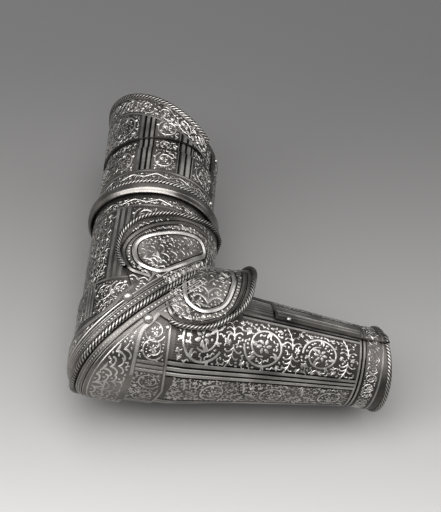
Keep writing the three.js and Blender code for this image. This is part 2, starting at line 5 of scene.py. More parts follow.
import bmesh
import bpy
from mathutils import Matrix, Quaternion, Vector

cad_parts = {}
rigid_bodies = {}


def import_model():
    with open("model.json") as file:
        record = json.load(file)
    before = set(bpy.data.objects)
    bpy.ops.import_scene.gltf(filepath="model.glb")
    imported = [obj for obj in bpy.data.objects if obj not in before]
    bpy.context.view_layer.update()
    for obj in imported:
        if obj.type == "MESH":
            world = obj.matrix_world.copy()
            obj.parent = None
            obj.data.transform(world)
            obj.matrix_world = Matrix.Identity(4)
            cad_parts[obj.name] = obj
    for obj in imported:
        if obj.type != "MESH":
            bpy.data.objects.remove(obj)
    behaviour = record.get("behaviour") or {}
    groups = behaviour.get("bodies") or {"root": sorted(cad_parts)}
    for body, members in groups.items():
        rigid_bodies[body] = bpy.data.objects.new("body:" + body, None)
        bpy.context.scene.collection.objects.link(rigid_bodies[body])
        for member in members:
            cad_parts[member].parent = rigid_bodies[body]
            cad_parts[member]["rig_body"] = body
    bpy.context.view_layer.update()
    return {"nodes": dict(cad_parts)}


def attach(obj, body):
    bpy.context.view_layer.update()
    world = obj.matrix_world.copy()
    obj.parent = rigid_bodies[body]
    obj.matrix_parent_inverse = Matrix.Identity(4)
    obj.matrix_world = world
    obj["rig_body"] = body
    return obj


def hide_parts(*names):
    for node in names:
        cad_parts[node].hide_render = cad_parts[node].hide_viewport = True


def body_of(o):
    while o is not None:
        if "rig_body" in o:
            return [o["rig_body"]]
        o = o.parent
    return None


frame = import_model()
random.seed(7)

# The CAD's driving sizes in millimetres and degrees, from the point where the tube axes cross.
cad = {
    'elbowAngle': 85, 'wall': 1.4, 'gap': 0.9, 'loose': 0.35, 'rope': 2.3,
    'wristEnd': 236, 'wristSlant': 6, 'wristRadius': 39.6, 'wristStraight': 212,
    'foreRadius': 59, 'foreStraight': 34, 'foreFrontEdge': 78, 'foreBackEdge': 3,
    'doorStart': 118, 'doorLap': 6, 'doorFrom': -62, 'doorTo': 80,
    'upperRadius': 58.8, 'upperEnd': 134, 'upperFrontEdge': 74, 'upperBackEdge': 6,
    'flangeRadius': 61.4, 'flangeWidth': 2.4,
    'collarStart': 124, 'collarRadius': 65, 'collarWidth': 15, 'turnerRadius': 57.8,
    'turnerTop': 187, 'turnerFrontTop': 216, 'seamTurn': 37, 'lameShow': 13, 'lameOverlap': 8,
    'secondTop': 222, 'secondOpen': 22, 'topBack': 274, 'topFront': 223, 'topOpen': 49,
    'lameSlack': 0.8, 'innerPivotOut': -21.5, 'couterRadius': 63.8, 'elbowRounding': 21,
    'bendRise': 9, 'bendFlare': 6, 'sideFlatness': 2.3, 'lameTuck': 3.2, 'lameLap': 15,
    'lowerSwell': 0.6, 'upperSwell': 0.2, 'couterReach': 122,
}
doorLift = cad['wall'] + cad['loose'] * 4

# Where the arm's millimetres lie in the shared frame.
armTurn = Quaternion((0.9986801, 0.0006915, 0.0513576, 0.0))
armPlace = Vector((-87.27709, -106.82105, 76.53152))
toFrame = Matrix.Scale(0.001, 4) @ Matrix.Translation(armPlace) @ armTurn.to_matrix().to_4x4()
angle = math.radians(cad['elbowAngle'])
foreDir = Vector((1, 0, 0))
upperDir = Vector((math.cos(angle), math.sin(angle), 0))
sideDir = Vector((0, 0, 1))
outDir = (foreDir + upperDir).normalized()
acrossDir = (upperDir - foreDir).normalized()
forearm = {'dir': foreDir, 'front': sideDir.cross(foreDir)}
upperArm = {'dir': upperDir, 'front': upperDir.cross(sideDir)}


def onArm(limb, along, turn, radius):
    t = math.radians(turn)
    return (limb['dir'] * along + limb['front'] * (radius * math.cos(t)) +
            sideDir * (radius * math.sin(t)))


def clamp(x, low=0.0, high=1.0):
    return min(max(x, low), high)


def smooth(x, low, high):
    t = clamp((x - low) / (high - low))
    return t * t * (3 - 2 * t)


def mix(a, b, share):
    return a + (b - a) * share


def stepped(a, b, count):
    return [mix(a, b, i / count) for i in range(count + 1)]


def flatSided(turn, amount):
    power = mix(2, cad['sideFlatness'], amount)
    t = math.radians(turn)
    return (abs(math.cos(t)) ** power + abs(math.sin(t)) ** power) ** (-1 / power)


def foreRadiusAt(along, turn):
    share = clamp((along - cad['foreStraight']) / (cad['wristStraight'] - cad['foreStraight']))
    flat = 1 - smooth(along, cad['foreStraight'], cad['wristEnd'] / 2)
    return mix(cad['foreRadius'], cad['wristRadius'], share) * flatSided(turn, flat)


def upperRadiusAt(along, turn):
    flat = 1 - smooth(along, cad['foreStraight'], cad['upperEnd'])
    return cad['upperRadius'] * flatSided(turn, flat)


# A value that eases through rows of (turn, value), the same on both sides of the arm.
def profile(rows):
    ends = [(2 * rows[0][0] - rows[1][0], 2 * rows[0][1] - rows[1][1])]
    ends += list(rows) + [(2 * rows[-1][0] - rows[-2][0], 2 * rows[-1][1] - rows[-2][1])]
    tension = 0.4
    table = []
    for i in range(1, len(ends) - 2):
        for k in range(12):
            t = k / 12
            point = []
            for axis in (0, 1):
                a, b, c, d = (ends[i + j][axis] for j in (-1, 0, 1, 2))
                t0, t1 = tension * (c - a), tension * (d - b)
                point.append(b + t0 * t + (3 * c - 3 * b - 2 * t0 - t1) * t * t +
                             (2 * b - 2 * c + t0 + t1) * t ** 3)
            table.append(point)
    table.append(list(rows[-1]))

    def value(turn):
        t = abs((turn + 180) % 360 - 180)
        for low, high in zip(table, table[1:]):
            if t <= high[0]:
                return mix(low[1], high[1], clamp((t - low[0]) / max(high[0] - low[0], 1e-6)))
        return table[-1][1]
    return value


def edgeOf(front, back):
    return profile([(0, front), (45, front * 0.8), (80, front * 0.34), (100, back + front * 0.08),
                    (114, back), (180, back)])


def wristCut(turn):
    return cad['wristEnd'] - cad['wristSlant'] * math.cos(math.radians(turn))


foreEdge = edgeOf(cad['foreFrontEdge'], cad['foreBackEdge'])
upperEdge = edgeOf(cad['upperFrontEdge'], cad['upperBackEdge'])
lameEnd = [profile([(turn, share * cad['couterRadius']) for turn, share in rows]) for rows in (
    ((100, 0.25), (118, 0.26), (150, 0.29), (180, 0.36)),
    ((100, -0.19), (118, -0.25), (135, -0.38), (180, -0.41)),
    ((100, 0.31), (118, 0.33), (180, 0.35)),
    ((100, -0.19), (118, -0.25), (140, -0.53), (180, -0.69)))]


def topEdge(turn):
    full = 1 + math.cos(math.radians(cad['topOpen']))
    return mix(cad['topBack'], cad['topFront'], (1 + math.cos(math.radians(turn))) / full)


def turnerRadiusAt(along, turn):
    end = cad['collarStart'] + cad['collarWidth']
    rise = smooth(along, cad['collarStart'], cad['collarStart'] + cad['collarWidth'] * 0.3)
    fall = smooth(along, end - cad['collarWidth'] * 0.35, end)
    lip = cad['upperRadius'] + cad['wall'] * 2 + cad['loose'] * 2
    return mix(mix(lip, cad['collarRadius'], rise), cad['turnerRadius'], fall)


# Outer surface of the couter along one limb: a lobe on a tube, mitred and rounded at the elbow.
def couterAt(limb, turn, along):
    lower = limb is forearm
    lean = math.cos(math.radians(turn))
    lift = max(0.0, lean) ** 1.5
    rise = cad['bendRise'] if lower else 0
    flare = cad['bendFlare'] if lower else 0
    swell = cad['lowerSwell'] if lower else cad['upperSwell']
    mitre = mitreOf(limb, turn)
    grown = smooth(along - mitre, 0, cad['couterRadius'])
    radius = (cad['couterRadius'] + swell * grown) * flatSided(turn, 1)
    point = onArm(limb, along, turn, radius + (rise + flare * grown) * lift)
    off = abs(point.dot(acrossDir))
    width = cad['elbowRounding'] * max(0.0, -lean) ** 0.8 + cad['loose']
    rounded = off if off >= width else (off * off + width * width) / (2 * width)
    if lean < 0:
        point = point + outDir * ((rounded - off) / math.tan(angle / 2))
    return point


def mitreOf(limb, turn):
    lean = math.cos(math.radians(turn))
    plain = cad['couterRadius'] * flatSided(turn, 1) * lean
    raised = plain + (cad['bendRise'] if limb is forearm else 0) * max(0.0, lean) ** 1.5 * lean
    return (plain + raised * math.cos(angle)) / math.sin(angle)


def linear(hexColor):
    parts = [int(hexColor[i:i + 2], 16) / 255 for i in (0, 2, 4)]
    return [p / 12.92 if p <= 0.04045 else ((p + 0.055) / 1.055) ** 2.4 for p in parts] + [1.0]


def addNode(tree, kind, settings=None, **inputs):
    node = tree.nodes.new(kind)
    for key, value in (settings or {}).items():
        setattr(node, key, value)
    for key, value in inputs.items():
        socket = node.inputs[int(key[1:])] if key[0] == '_' else node.inputs[key.replace('_', ' ')]
        if isinstance(value, bpy.types.NodeSocket):
            tree.links.new(value, socket)
        else:
            socket.default_value = value
    return node


# Steels, each as the hex colours of its dull and worn places, its roughness, the scale of its
# grain and patches, and how far the grain raises it. The rope's has painted shade, near black
# between its strands.
steels = {
    'etchedSteel': {'low': '252322', 'high': '6a6663', 'rough': (0.4, 0.58), 'grain': 1500,
                    'bump': 0.3, 'patch': 26},
    'wornSteel': {'low': '75716e', 'high': 'd2cfcb', 'rough': (0.34, 0.5), 'grain': 900,
                  'bump': 0.08, 'patch': 40},
    'brightSteel': {'low': '918d8a', 'high': 'e1deda', 'rough': (0.28, 0.42), 'grain': 700,
                    'bump': 0.05, 'patch': 60},
    'couterSteel': {'low': '393735', 'high': '837f7b', 'rough': (0.32, 0.5), 'grain': 1400,
                    'bump': 0.22, 'patch': 30},
    'polishedSteel': {'low': '4b4846', 'high': '928e8a', 'rough': (0.26, 0.42), 'grain': 700,
                      'bump': 0.1, 'patch': 34},
    'linedSteel': {'low': '656260', 'high': 'b0ada9', 'rough': (0.34, 0.5), 'grain': 1100,
                   'bump': 0.12, 'patch': 36},
    # Painted shade: near black, for strips that mark the sunk lines between and beside raised
    # work.
    'grooveShadeSteel': {'low': '080707', 'high': '171412', 'rough': (0.55, 0.75), 'grain': 1100,
                       'bump': 0.2, 'patch': 30},
    'groundSteel': {'low': '1e1c1b', 'high': '575350', 'rough': (0.45, 0.6), 'grain': 1500,
                    'bump': 0.3, 'patch': 26},
    'ropeSteel': {'low': '76726f', 'high': 'c0bdb9', 'rough': (0.3, 0.45), 'grain': 900,
                  'bump': 0.05, 'patch': 40, 'recessShade': '070605'},
    'innerSteel': {'low': '26221f', 'high': '4c4641', 'rough': (0.4, 0.6), 'grain': 500,
                   'bump': 0.15, 'patch': 18},
}
materials = {}
for title, look in steels.items():
    material = bpy.data.materials.new(title)
    material.use_nodes = True
    tree = material.node_tree
    shader = tree.nodes['Principled BSDF']
    place = addNode(tree, 'ShaderNodeTexCoord').outputs['Object']
    patch = addNode(tree, 'ShaderNodeTexNoise', Vector=place, Scale=look['patch'], Detail=5.0)
    grain = addNode(tree, 'ShaderNodeTexNoise', Vector=place, Scale=look['grain'], Detail=2.0)
    worn = addNode(tree, 'ShaderNodeMath', {'operation': 'MULTIPLY_ADD'}, _0=grain.outputs[0],
                   _1=0.45, _2=patch.outputs[0])
    tone = addNode(tree, 'ShaderNodeMapRange', Value=worn.outputs[0], From_Min=0.45, From_Max=0.98)
    color = addNode(tree, 'ShaderNodeMix', {'data_type': 'RGBA'}, _0=tone.outputs[0],
                    _6=linear(look['low']), _7=linear(look['high']))
    rough = addNode(tree, 'ShaderNodeMapRange', Value=patch.outputs[0], From_Min=0.35,
                    From_Max=0.7, To_Min=look['rough'][0], To_Max=look['rough'][1])
    dent = addNode(tree, 'ShaderNodeBump', Height=grain.outputs[0], Strength=look['bump'],
                   Distance=0.0004)
    # Painted shade: the rope's colour runs to near black between its strands, where shade falls.
    if 'recessShade' in look:
        deep = addNode(tree, 'ShaderNodeAttribute', {'attribute_name': 'recessShade'})
        shade = addNode(tree, 'ShaderNodeMapRange', Value=deep.outputs['Fac'], From_Min=0.1,
                        From_Max=0.42)
        color = addNode(tree, 'ShaderNodeMix', {'data_type': 'RGBA'}, _0=shade.outputs[0],
                        _6=color.outputs[2], _7=linear(look['recessShade']))
    tree.links.new(color.outputs[2], shader.inputs['Base Color'])
    tree.links.new(rough.outputs[0], shader.inputs['Roughness'])
    tree.links.new(dent.outputs[0], shader.inputs['Normal'])
    shader.inputs['Metallic'].default_value = 1.0
    materials[title] = material


# Makes an object of a mesh drawn in the arm's own millimetres, and lets it ride on a body.
def finishPiece(name, bm, body, material, replaced=(), sharp=35):
    bmesh.ops.transform(bm, matrix=toFrame, verts=bm.verts)
    mesh = bpy.data.meshes.new(name)
    bm.to_mesh(mesh)
    bm.free()
    for face in mesh.polygons:
        face.use_smooth = True
    mesh.set_sharp_from_angle(angle=math.radians(sharp))
    mesh.materials.append(materials[material])
    piece = bpy.data.objects.new(name, mesh)
    bpy.context.scene.collection.objects.link(piece)
    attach(piece, body)
    if replaced:
        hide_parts(*replaced)


# The corners of a new grid, each with its column and row.
def gridCorners(bm, columns, rows):
    made = bmesh.ops.create_grid(bm, x_segments=columns, y_segments=rows, size=0.5)['verts']
    return [(vert, round((vert.co.x + 0.5) * columns), round((vert.co.y + 0.5) * rows))
            for vert in made]


# A curved plate: a grid laid on face(turn, share), then given its wall on the inside.
def addSheet(bm, face, turns, shares, wall=None):
    made = []
    for vert, i, j in gridCorners(bm, turns[2], len(shares) - 1):
        vert.co = face(mix(turns[0], turns[1], i / turns[2]), shares[j])
        made.append(vert)
    faces = list({f for v in made for f in v.link_faces})
    bmesh.ops.recalc_face_normals(bm, faces=faces)
    middle = sum((v.co for v in made), Vector()) / len(made)
    lean = sum((f.calc_center_median() - middle).dot(f.normal) for f in faces)
    if lean < 0:
        bmesh.ops.reverse_faces(bm, faces=faces)
    bmesh.ops.remove_doubles(bm, verts=made, dist=1e-4)
    faces = [f for f in faces if f.is_valid]
    bmesh.ops.solidify(bm, geom=faces, thickness=wall or cad['wall'])


def addPlate(name, body, *sheets):
    bm = bmesh.new()
    for sheet in sheets:
        addSheet(bm, *sheet)
    finishPiece(name, bm, body, 'etchedSteel', replaced=(name,))


def span(limb, radius, start, end):
    def face(turn, share):
        low = start(turn) if callable(start) else start
        high = end(turn) if callable(end) else end
        along = mix(low, high, share)
        return onArm(limb, along, turn, radius(along, turn))
    return face


def doorRadius(along, turn):
    lap = smooth(turn, cad['doorTo'] - cad['doorLap'] * 2.2, cad['doorTo'] - cad['doorLap'] * 0.4)
    return foreRadiusAt(along, turn) + doorLift * lap


def lamePoint(limb, radius, hidden, turn, along):
    tuck = cad['lameTuck'] * smooth(hidden(turn) + cad['lameLap'] - along, 0, cad['lameLap'])
    tuck *= max(0.0, -math.cos(math.radians(turn)))
    return onArm(limb, along, turn, radius(along, turn) + cad['wall'] + cad['gap'] - tuck)


def lameFace(limb, radius, hidden, shown):
    return lambda turn, share: lamePoint(limb, radius, hidden, turn,
                                         mix(hidden(turn), shown(turn), share))


def upperFace(turn, share):
    along = mix(upperEdge(turn), cad['upperEnd'], share)
    low = cad['upperEnd'] - cad['flangeWidth'] * 2
    grown = smooth(along, low, low + cad['flangeWidth'])
    flange = (cad['flangeRadius'] - cad['upperRadius']) * grown
    return onArm(upperArm, along, turn, upperRadiusAt(along, turn) + flange)


def tube(radius):
    return lambda along, turn: radius


# Turns of each plate round its limb: from, to and steps.
plateTurns = {
    'trough': (cad['doorTo'], 360 + cad['doorFrom'], 110),
    'sleeve': (cad['doorFrom'], cad['doorTo'], 70),
    'door': (cad['doorFrom'] + 2.2, cad['doorTo'] + cad['doorLap'], 100),
    'lame': (102, 258, 90), 'upper': (-180, 180, 200),
    'turnerOuter': (cad['seamTurn'] + 0.4, 359.6 - cad['seamTurn'], 200),
    'turnerInner': (-cad['seamTurn'], cad['seamTurn'], 50),
    'second': (cad['secondOpen'], 360 - cad['secondOpen'], 160),
    'top': (cad['topOpen'], 360 - cad['topOpen'], 150),
}
flangeShares = stepped(0, 0.94, 36) + [0.955, 0.97, 0.985, 1.0]
collarShares = [i * 0.012 for i in range(27)] + [0.45, 0.6, 0.75, 0.9, 1.0]
addPlate('lower_cannon_outer', 'forearm',
         (span(forearm, foreRadiusAt, foreEdge, wristCut), plateTurns['trough'],
          stepped(0, 1, 60)),
         (span(forearm, foreRadiusAt, foreEdge, cad['doorStart']), plateTurns['sleeve'],
          stepped(0, 1, 30)))
addPlate('lower_cannon_door', 'door',
         (span(forearm, doorRadius, cad['doorStart'] + cad['loose'] * 2, wristCut),
          plateTurns['door'], stepped(0, 1, 40)))
addPlate('lower_lame', 'lower_lame',
         (lameFace(forearm, foreRadiusAt, lameEnd[1], lameEnd[0]), plateTurns['lame'],
          stepped(0, 1, 30)))
addPlate('upper_lame', 'upper_lame',
         (lameFace(upperArm, upperRadiusAt, lameEnd[3], lameEnd[2]), plateTurns['lame'],
          stepped(0, 1, 30)))
addPlate('upper_cannon', 'upper_arm', (upperFace, plateTurns['upper'], flangeShares))
for name, top, turns in (('turner_outer_plate', cad['turnerTop'], plateTurns['turnerOuter']),
                         ('turner_inner_plate', cad['turnerFrontTop'],
                          plateTurns['turnerInner'])):
    addPlate(name, 'turner', (span(upperArm, turnerRadiusAt, cad['collarStart'], top), turns,
                              collarShares))
topStart = cad['turnerTop'] + cad['lameShow']
secondEdge = profile([(0, cad['secondTop']), (70, cad['secondTop']),
                      (95, topStart + cad['lameOverlap']), (180, topStart + cad['lameOverlap'])])
innerLame = cad['turnerRadius'] - cad['wall'] - cad['lameSlack']
addPlate('second_lame', 'second_lame',
         (span(upperArm, tube(innerLame), cad['turnerTop'] - cad['lameOverlap'], secondEdge),
          plateTurns['second'], stepped(0, 1, 4)))
addPlate('top_lame', 'top_lame',
         (span(upperArm, tube(cad['turnerRadius']), topStart, topEdge), plateTurns['top'],
          stepped(0, 1, 24)))
print('plates done')

# Couter: a dense shell of both limbs, trimmed by the outline of its lobes and cusps. The outline
# is in shares of the couter's radius, along each limb and to its front.
rimShares = {
    'lowerRim': [(1.442, 1.317), (1.505, 1.034), (1.52, 0.752), (1.458, 0.439), (1.395, 0.188),
                 (1.238, -0.078), (0.956, -0.313), (0.721, -0.408), (0.392, -0.423),
                 (0.219, -0.376)],
    'lowerCusp': [(0.078, -0.306), (-0.031, -0.455), (-0.149, -0.596), (-0.172, -0.878),
                  (-0.141, -1.129)],
    'upperRim': [(1.834, 1.176), (1.724, 0.784), (1.622, 0.439), (1.583, 0.157), (1.489, -0.157),
                 (1.348, -0.408), (1.113, -0.58), (0.846, -0.619), (0.658, -0.588),
                 (0.439, -0.486)],
    'upperCusp': [(0.133, -0.368), (-0.063, -0.525), (-0.212, -0.619), (-0.408, -0.846),
                  (-0.486, -1.129)],
}


# Points of a smooth curve through the given ones, the spaces between them counted alike.
def smoothLine(points, perSpan, closed=False):
    count = len(points)
    if closed:
        get = lambda i: points[i % count]
    else:
        get = lambda i: (points[0] * 2 - points[1] if i < 0 else
                         points[-1] * 2 - points[-2] if i >= count else points[i])
    line = []
    for i in range(count if closed else count - 1):
        a, b, c, d = get(i - 1), get(i), get(i + 1), get(i + 2)
        for k in range(perSpan):
            t = k / perSpan
            line.append(((b * 2) + (c - a) * t + (a * 2 - b * 5 + c * 4 - d) * t * t +
                         (b * 3 - a - c * 3 + d) * t ** 3) * 0.5)
    return line if closed else line + [points[-1].copy()]


def flatRim(key):
    limb = forearm if key.startswith('lower') else upperArm
    return smoothLine([(limb['dir'] * a + limb['front'] * f) * cad['couterRadius']
                       for a, f in rimShares[key]], 8)


outline = (flatRim('lowerRim') + flatRim('lowerCusp') + [outDir * (-cad['couterRadius'] * 2)] +
           flatRim('upperCusp')[::-1] + flatRim('upperRim')[::-1])
couterRows = [0, 0.004, 0.009, 0.014, 0.02, 0.03, 0.045] + stepped(0.06, 1, 44)


def couterFace(limb):
    return lambda turn, share: couterAt(limb, turn, mix(mitreOf(limb, turn), cad['couterReach'],
                                                        share))


def bareObject(name, bm):
    mesh = bpy.data.meshes.new(name)
    bm.to_mesh(mesh)
    bm.free()
    made = bpy.data.objects.new(name, mesh)
    bpy.context.scene.collection.objects.link(made)
    return made


prismDepth = 100
prism = bmesh.new()
bottom = prism.faces.new([prism.verts.new((p.x, p.y, -prismDepth)) for p in outline])
raised = bmesh.ops.extrude_face_region(prism, geom=[bottom])['geom']
bmesh.ops.translate(prism, verts=[g for g in raised if isinstance(g, bmesh.types.BMVert)],
                    vec=(0, 0, prismDepth * 2))
bmesh.ops.recalc_face_normals(prism, faces=prism.faces)
prismObject = bareObject('outlinePrism', prism)
couterMesh = bmesh.new()
for limb in (forearm, upperArm):
    shell = bmesh.new()
    addSheet(shell, couterFace(limb), (-180, 180, 180), couterRows)
    shellObject = bareObject('shell', shell)
    trim = shellObject.modifiers.new('trim', 'BOOLEAN')
    trim.operation = 'INTERSECT'
    trim.object = prismObject
    trimmed = shellObject.evaluated_get(bpy.context.evaluated_depsgraph_get()).to_mesh()
    couterMesh.from_mesh(trimmed)
    bpy.data.objects.remove(shellObject)
bpy.data.objects.remove(prismObject)
finishPiece('couter', couterMesh, 'elbow', 'couterSteel', replaced=('couter',), sharp=40)
print('couter done')


# Cabled edges: a round bar whose section turns along its path. Turns are from, to and steps.
ropes = {
    'strands': 4, 'around': 20, 'perPitch': 6, 'core': 0.62, 'strandRound': 0.6, 'step': 0.4,
    'wrist': {'radius': cad['rope'], 'pitch': 3.7, 'turns': (80, 298, 80), 'lift': -0.2},
    'door': {'radius': cad['rope'], 'pitch': 3.7, 'turns': (-59.5, 86, 60), 'lift': -0.2},
    'top': {'radius': cad['rope'] * 1.1, 'pitch': 3.8, 'lift': 0,
            'turns': (cad['topOpen'], 360 - cad['topOpen'], 120)},
    'collar': {'radius': cad['rope'] * 1.1, 'pitch': 3.7, 'turns': (-180, 180, 160), 'lift': 0.9},
    'lobe': {'radius': cad['rope'] * 1.15, 'pitch': 3.6, 'lift': 1.3, 'foldOver': 14},
    'ridge': {'radius': 3.0, 'pitch': 4.1, 'turns': (60, 300, 160), 'lift': 0.7},
}


def addRope(name, body, path, look, closed=False):
    path = path + path[:1] if closed else path
    dense = []
    for a, b in zip(path, path[1:]):
        steps = max(1, int((b - a).length / ropes['step']))
        dense += [a.lerp(b, k / steps) for k in range(steps)]
    dense.append(path[-1])
    lengths = [0.0]
    for a, b in zip(dense, dense[1:]):
        lengths.append(lengths[-1] + (b - a).length)
    count = max(1, round(lengths[-1] / look['pitch'])) * ropes['perPitch']
    spots, at = [], 0
    for k in range(count + 1):
        want = lengths[-1] * k / count
        while at < len(lengths) - 2 and lengths[at + 1] < want:
            at += 1
        share = (want - lengths[at]) / max(lengths[at + 1] - lengths[at], 1e-9)
        spots.append(dense[at].lerp(dense[at + 1], clamp(share)))
    before = spots[-2] if closed else spots[0] * 2 - spots[1]
    after = spots[1] if closed else spots[-1] * 2 - spots[-2]
    frames, frameUp = [], None
    for behind, ahead in zip([before] + spots[:-1], spots[1:] + [after]):
        tangent = (ahead - behind).normalized()
        frameUp = frameUp or tangent.orthogonal()
        frameUp = (frameUp - tangent * frameUp.dot(tangent)).normalized()
        frames.append((frameUp, tangent.cross(frameUp)))
    bm = bmesh.new()
    # Painted shade: each corner keeps how deep it lies between the strands, to darken the rope's
    # colour there.
    recessShade = bm.verts.layers.float.new('recessShade')
    for vert, j, k in gridCorners(bm, ropes['around'], count):
        theta = math.tau * j / ropes['around']
        phase = theta * ropes['strands'] + math.tau * k / ropes['perPitch']
        full = abs(math.sin(phase / 2)) ** ropes['strandRound']
        out = frames[k][0] * math.cos(theta) + frames[k][1] * math.sin(theta)
        vert.co = spots[k] + out * (look['radius'] * mix(ropes['core'], 1, full))
        vert[recessShade] = 1 - full
    bmesh.ops.remove_doubles(bm, verts=bm.verts, dist=1e-3)
    if not closed:
        bmesh.ops.holes_fill(bm, edges=bm.edges, sides=ropes['around'])
    bmesh.ops.recalc_face_normals(bm, faces=bm.faces)
    finishPiece(name, bm, body, 'ropeSteel', sharp=60)


def ringPath(limb, radius, along, look):
    return [onArm(limb, along(turn), turn, radius(along(turn), turn) + look['lift'])
            for turn in stepped(*look['turns'])]


# The turn at which the couter lies over a point of the arm's plane.
def turnAt(limb, along, forward):
    turn = 90.0
    for _ in range(24):
        point = couterAt(limb, turn, along)
        radius = math.hypot(point.dot(limb['front']), point.z)
        turn = (turn + math.degrees(math.acos(clamp(forward / radius, -1, 1)))) / 2
    return turn


def overCouter(limb, along, forward, lift):
    point = couterAt(limb, turnAt(limb, along, forward), along)
    return point + (point - limb['dir'] * point.dot(limb['dir'])).normalized() * lift


def rimPath(key):
    limb = forearm if key.startswith('lower') else upperArm
    reach = cad['couterRadius'] + (ropes['lobe']['foldOver'] if limb is forearm else 0)
    over = []
    for point in flatRim(key):
        along, forward = point.dot(limb['dir']), point.dot(limb['front'])
        if forward < reach * 0.99:
            over.append(overCouter(limb, along, forward, ropes['lobe']['lift']))
    under = [Vector((p.x, p.y, -p.z)) for p in reversed(over)]
    return smoothLine(under + over, 3)


byWrist = lambda turn: wristCut(turn) - cad['rope']
byTop = lambda turn: topEdge(turn) - cad['rope']
byCollar = lambda turn: cad['collarStart'] + cad['collarWidth'] + cad['rope']
onTube = tube(cad['turnerRadius'])
addRope('wrist_rope', 'forearm', ringPath(forearm, foreRadiusAt, byWrist, ropes['wrist']),
        ropes['wrist'])
addRope('wrist_door_rope', 'door', ringPath(forearm, doorRadius, byWrist, ropes['door']),
        ropes['door'])
addRope('top_rope', 'top_lame', ringPath(upperArm, onTube, byTop, ropes['top']), ropes['top'])
addRope('collar_rope', 'turner', ringPath(upperArm, onTube, byCollar, ropes['collar'])[:-1],
        ropes['collar'], closed=True)
for key in ('lower', 'upper'):
    addRope(key + '_lobe_rope', 'elbow', rimPath(key + 'Rim'), ropes['lobe'])
ridgePath = []
for turn in stepped(*ropes['ridge']['turns']):
    point = couterAt(forearm, turn, mitreOf(forearm, turn))
    away = (point - outDir * cad['innerPivotOut']).normalized()
    ridgePath.append(point + away * ropes['ridge']['lift'])
addRope('ridge_rope', 'elbow', ridgePath, ropes['ridge'])
print('ropes done')

# Ornament is drawn in millimetres on a plate, x along the arm and y round it. A stroke is a list
# of points with a width at each.
def straight(x0, y0, x1, y1, width, count=30):
    return list(zip(stepped(x0, x1, count), stepped(y0, y1, count))), [width] * (count + 1)


def leaf(x, y, heading, length, width, bend, steps=5):
    points, widths = [(x, y)], [width * 0.2]
    for i in range(steps):
        x += math.cos(heading) * length / steps
        y += math.sin(heading) * length / steps
        heading += bend / steps
        points.append((x, y))
        widths.append(width * math.sin(math.pi * ((i + 1) / steps) ** 0.8) + 0.01)
    return points, widths


def curl(x, y, heading, length, width, bend, steps=10):
    points, widths = [(x, y)], [width * 0.5]
    for i in range(steps):
        share = i / steps
        x += math.cos(heading) * length / steps * (1.5 - share)
        y += math.sin(heading) * length / steps * (1.5 - share)
        heading += bend * (0.3 + 1.4 * share) / steps
        points.append((x, y))
        widths.append(width * (0.6 + 0.7 * share))
    widths[-1] = 0.05
    return points, widths


def dot(x, y, size):
    return [(x - size / 2, y), (x, y), (x + size / 2, y)], [0.05, size, 0.05]


def flower(x, y, radius, petals, start, spin):
    root = radius * 0.25
    turns = [start + math.tau * i / petals for i in range(petals)]
    return [leaf(x + math.cos(a) * root, y + math.sin(a) * root, a, radius * 0.75, radius * 0.4,
                 0.9 * spin, 4) for a in turns] + [dot(x, y, radius * 0.34)]


def tuft(x, y, heading, length, width):
    return [leaf(x, y, heading + lean, length * size, width, lean * 1.6)
            for lean, size in ((0, 1), (0.62, 0.8), (-0.62, 0.8), (1.2, 0.55), (-1.2, 0.55))]


# A stem that winds in to a flower, with leaves and curls on both sides of it.
def roundel(cx, cy, radius, start, spin):
    count, width = 36, 0.9 + radius * 0.075
    points = []
    for i in range(count + 1):
        share = i / count
        a = start + spin * share * math.tau * 1.25
        r = radius * (1 - 0.52 * share ** 1.5)
        points.append((cx + r * math.cos(a), cy + r * math.sin(a)))
    strokes = [(points, [width * (1 - 0.35 * i / count) for i in range(count + 1)])]
    strokes += flower(cx, cy, radius * 0.42, 6, start, spin)
    for i in range(3, count - 2, 4):
        (x, y), (nx, ny) = points[i], points[i + 1]
        heading = math.atan2(ny - y, nx - x)
        side = 1 if i // 4 % 2 else -1
        size = radius * (0.4 if side * spin > 0 else 0.26)
        strokes += [leaf(x, y, heading + side * 0.5, size * 1.2, size * 0.42, side * 1.6),
                    leaf(x, y, heading + side * 0.15, size * 0.9, size * 0.3, -side * 0.4),
                    curl(x, y, heading + side * 1.1, size, width * 0.6, side * 3.4, 8)]
    return strokes


def roundels(rows):
    return [stroke for row in rows for stroke in roundel(*row)]


def roundelRow(spots, radius, start):
    return roundels([(*spot, radius, start, 1 if k % 2 else -1) for k, spot in enumerate(spots)])


# A stem that bends along its length, and the place and heading at each of its steps.
def stem(x, y, heading, length, bend, steps, width, taper):
    points, widths, joints = [(x, y)], [width], []
    for i in range(steps):
        share = i / steps
        x += math.cos(heading) * length / steps
        y += math.sin(heading) * length / steps
        heading += bend / steps
        points.append((x, y))
        widths.append(width * (1 - taper * share))
        joints.append((x, y, heading, share))
    return (points, widths), joints


# A branch with curls and leaves that fall away from it on both sides, ending in a spray.
def palmette(x, y, heading, length, bend, pairs):
    branch, joints = stem(x, y, heading, length, bend, pairs * 4, 2.2, 0.7)
    strokes = [branch]
    for i, (x, y, heading, share) in enumerate(joints):
        if i % 2:
            size = min(length * (0.4 - 0.2 * abs(share - 0.35)), 14)
            side = 1 if i % 4 == 1 else -1
            strokes += [curl(x, y, heading + side * 0.5, size, 1.3, side * 5.2, 14),
                        leaf(x, y, heading + side * 1.1, size * 0.45, size * 0.2, side * 1.4),
                        leaf(x, y, heading - side * 0.5, size * 0.4, size * 0.18, -side)]
    return strokes + tuft(x, y, heading, length * 0.22, length * 0.06)


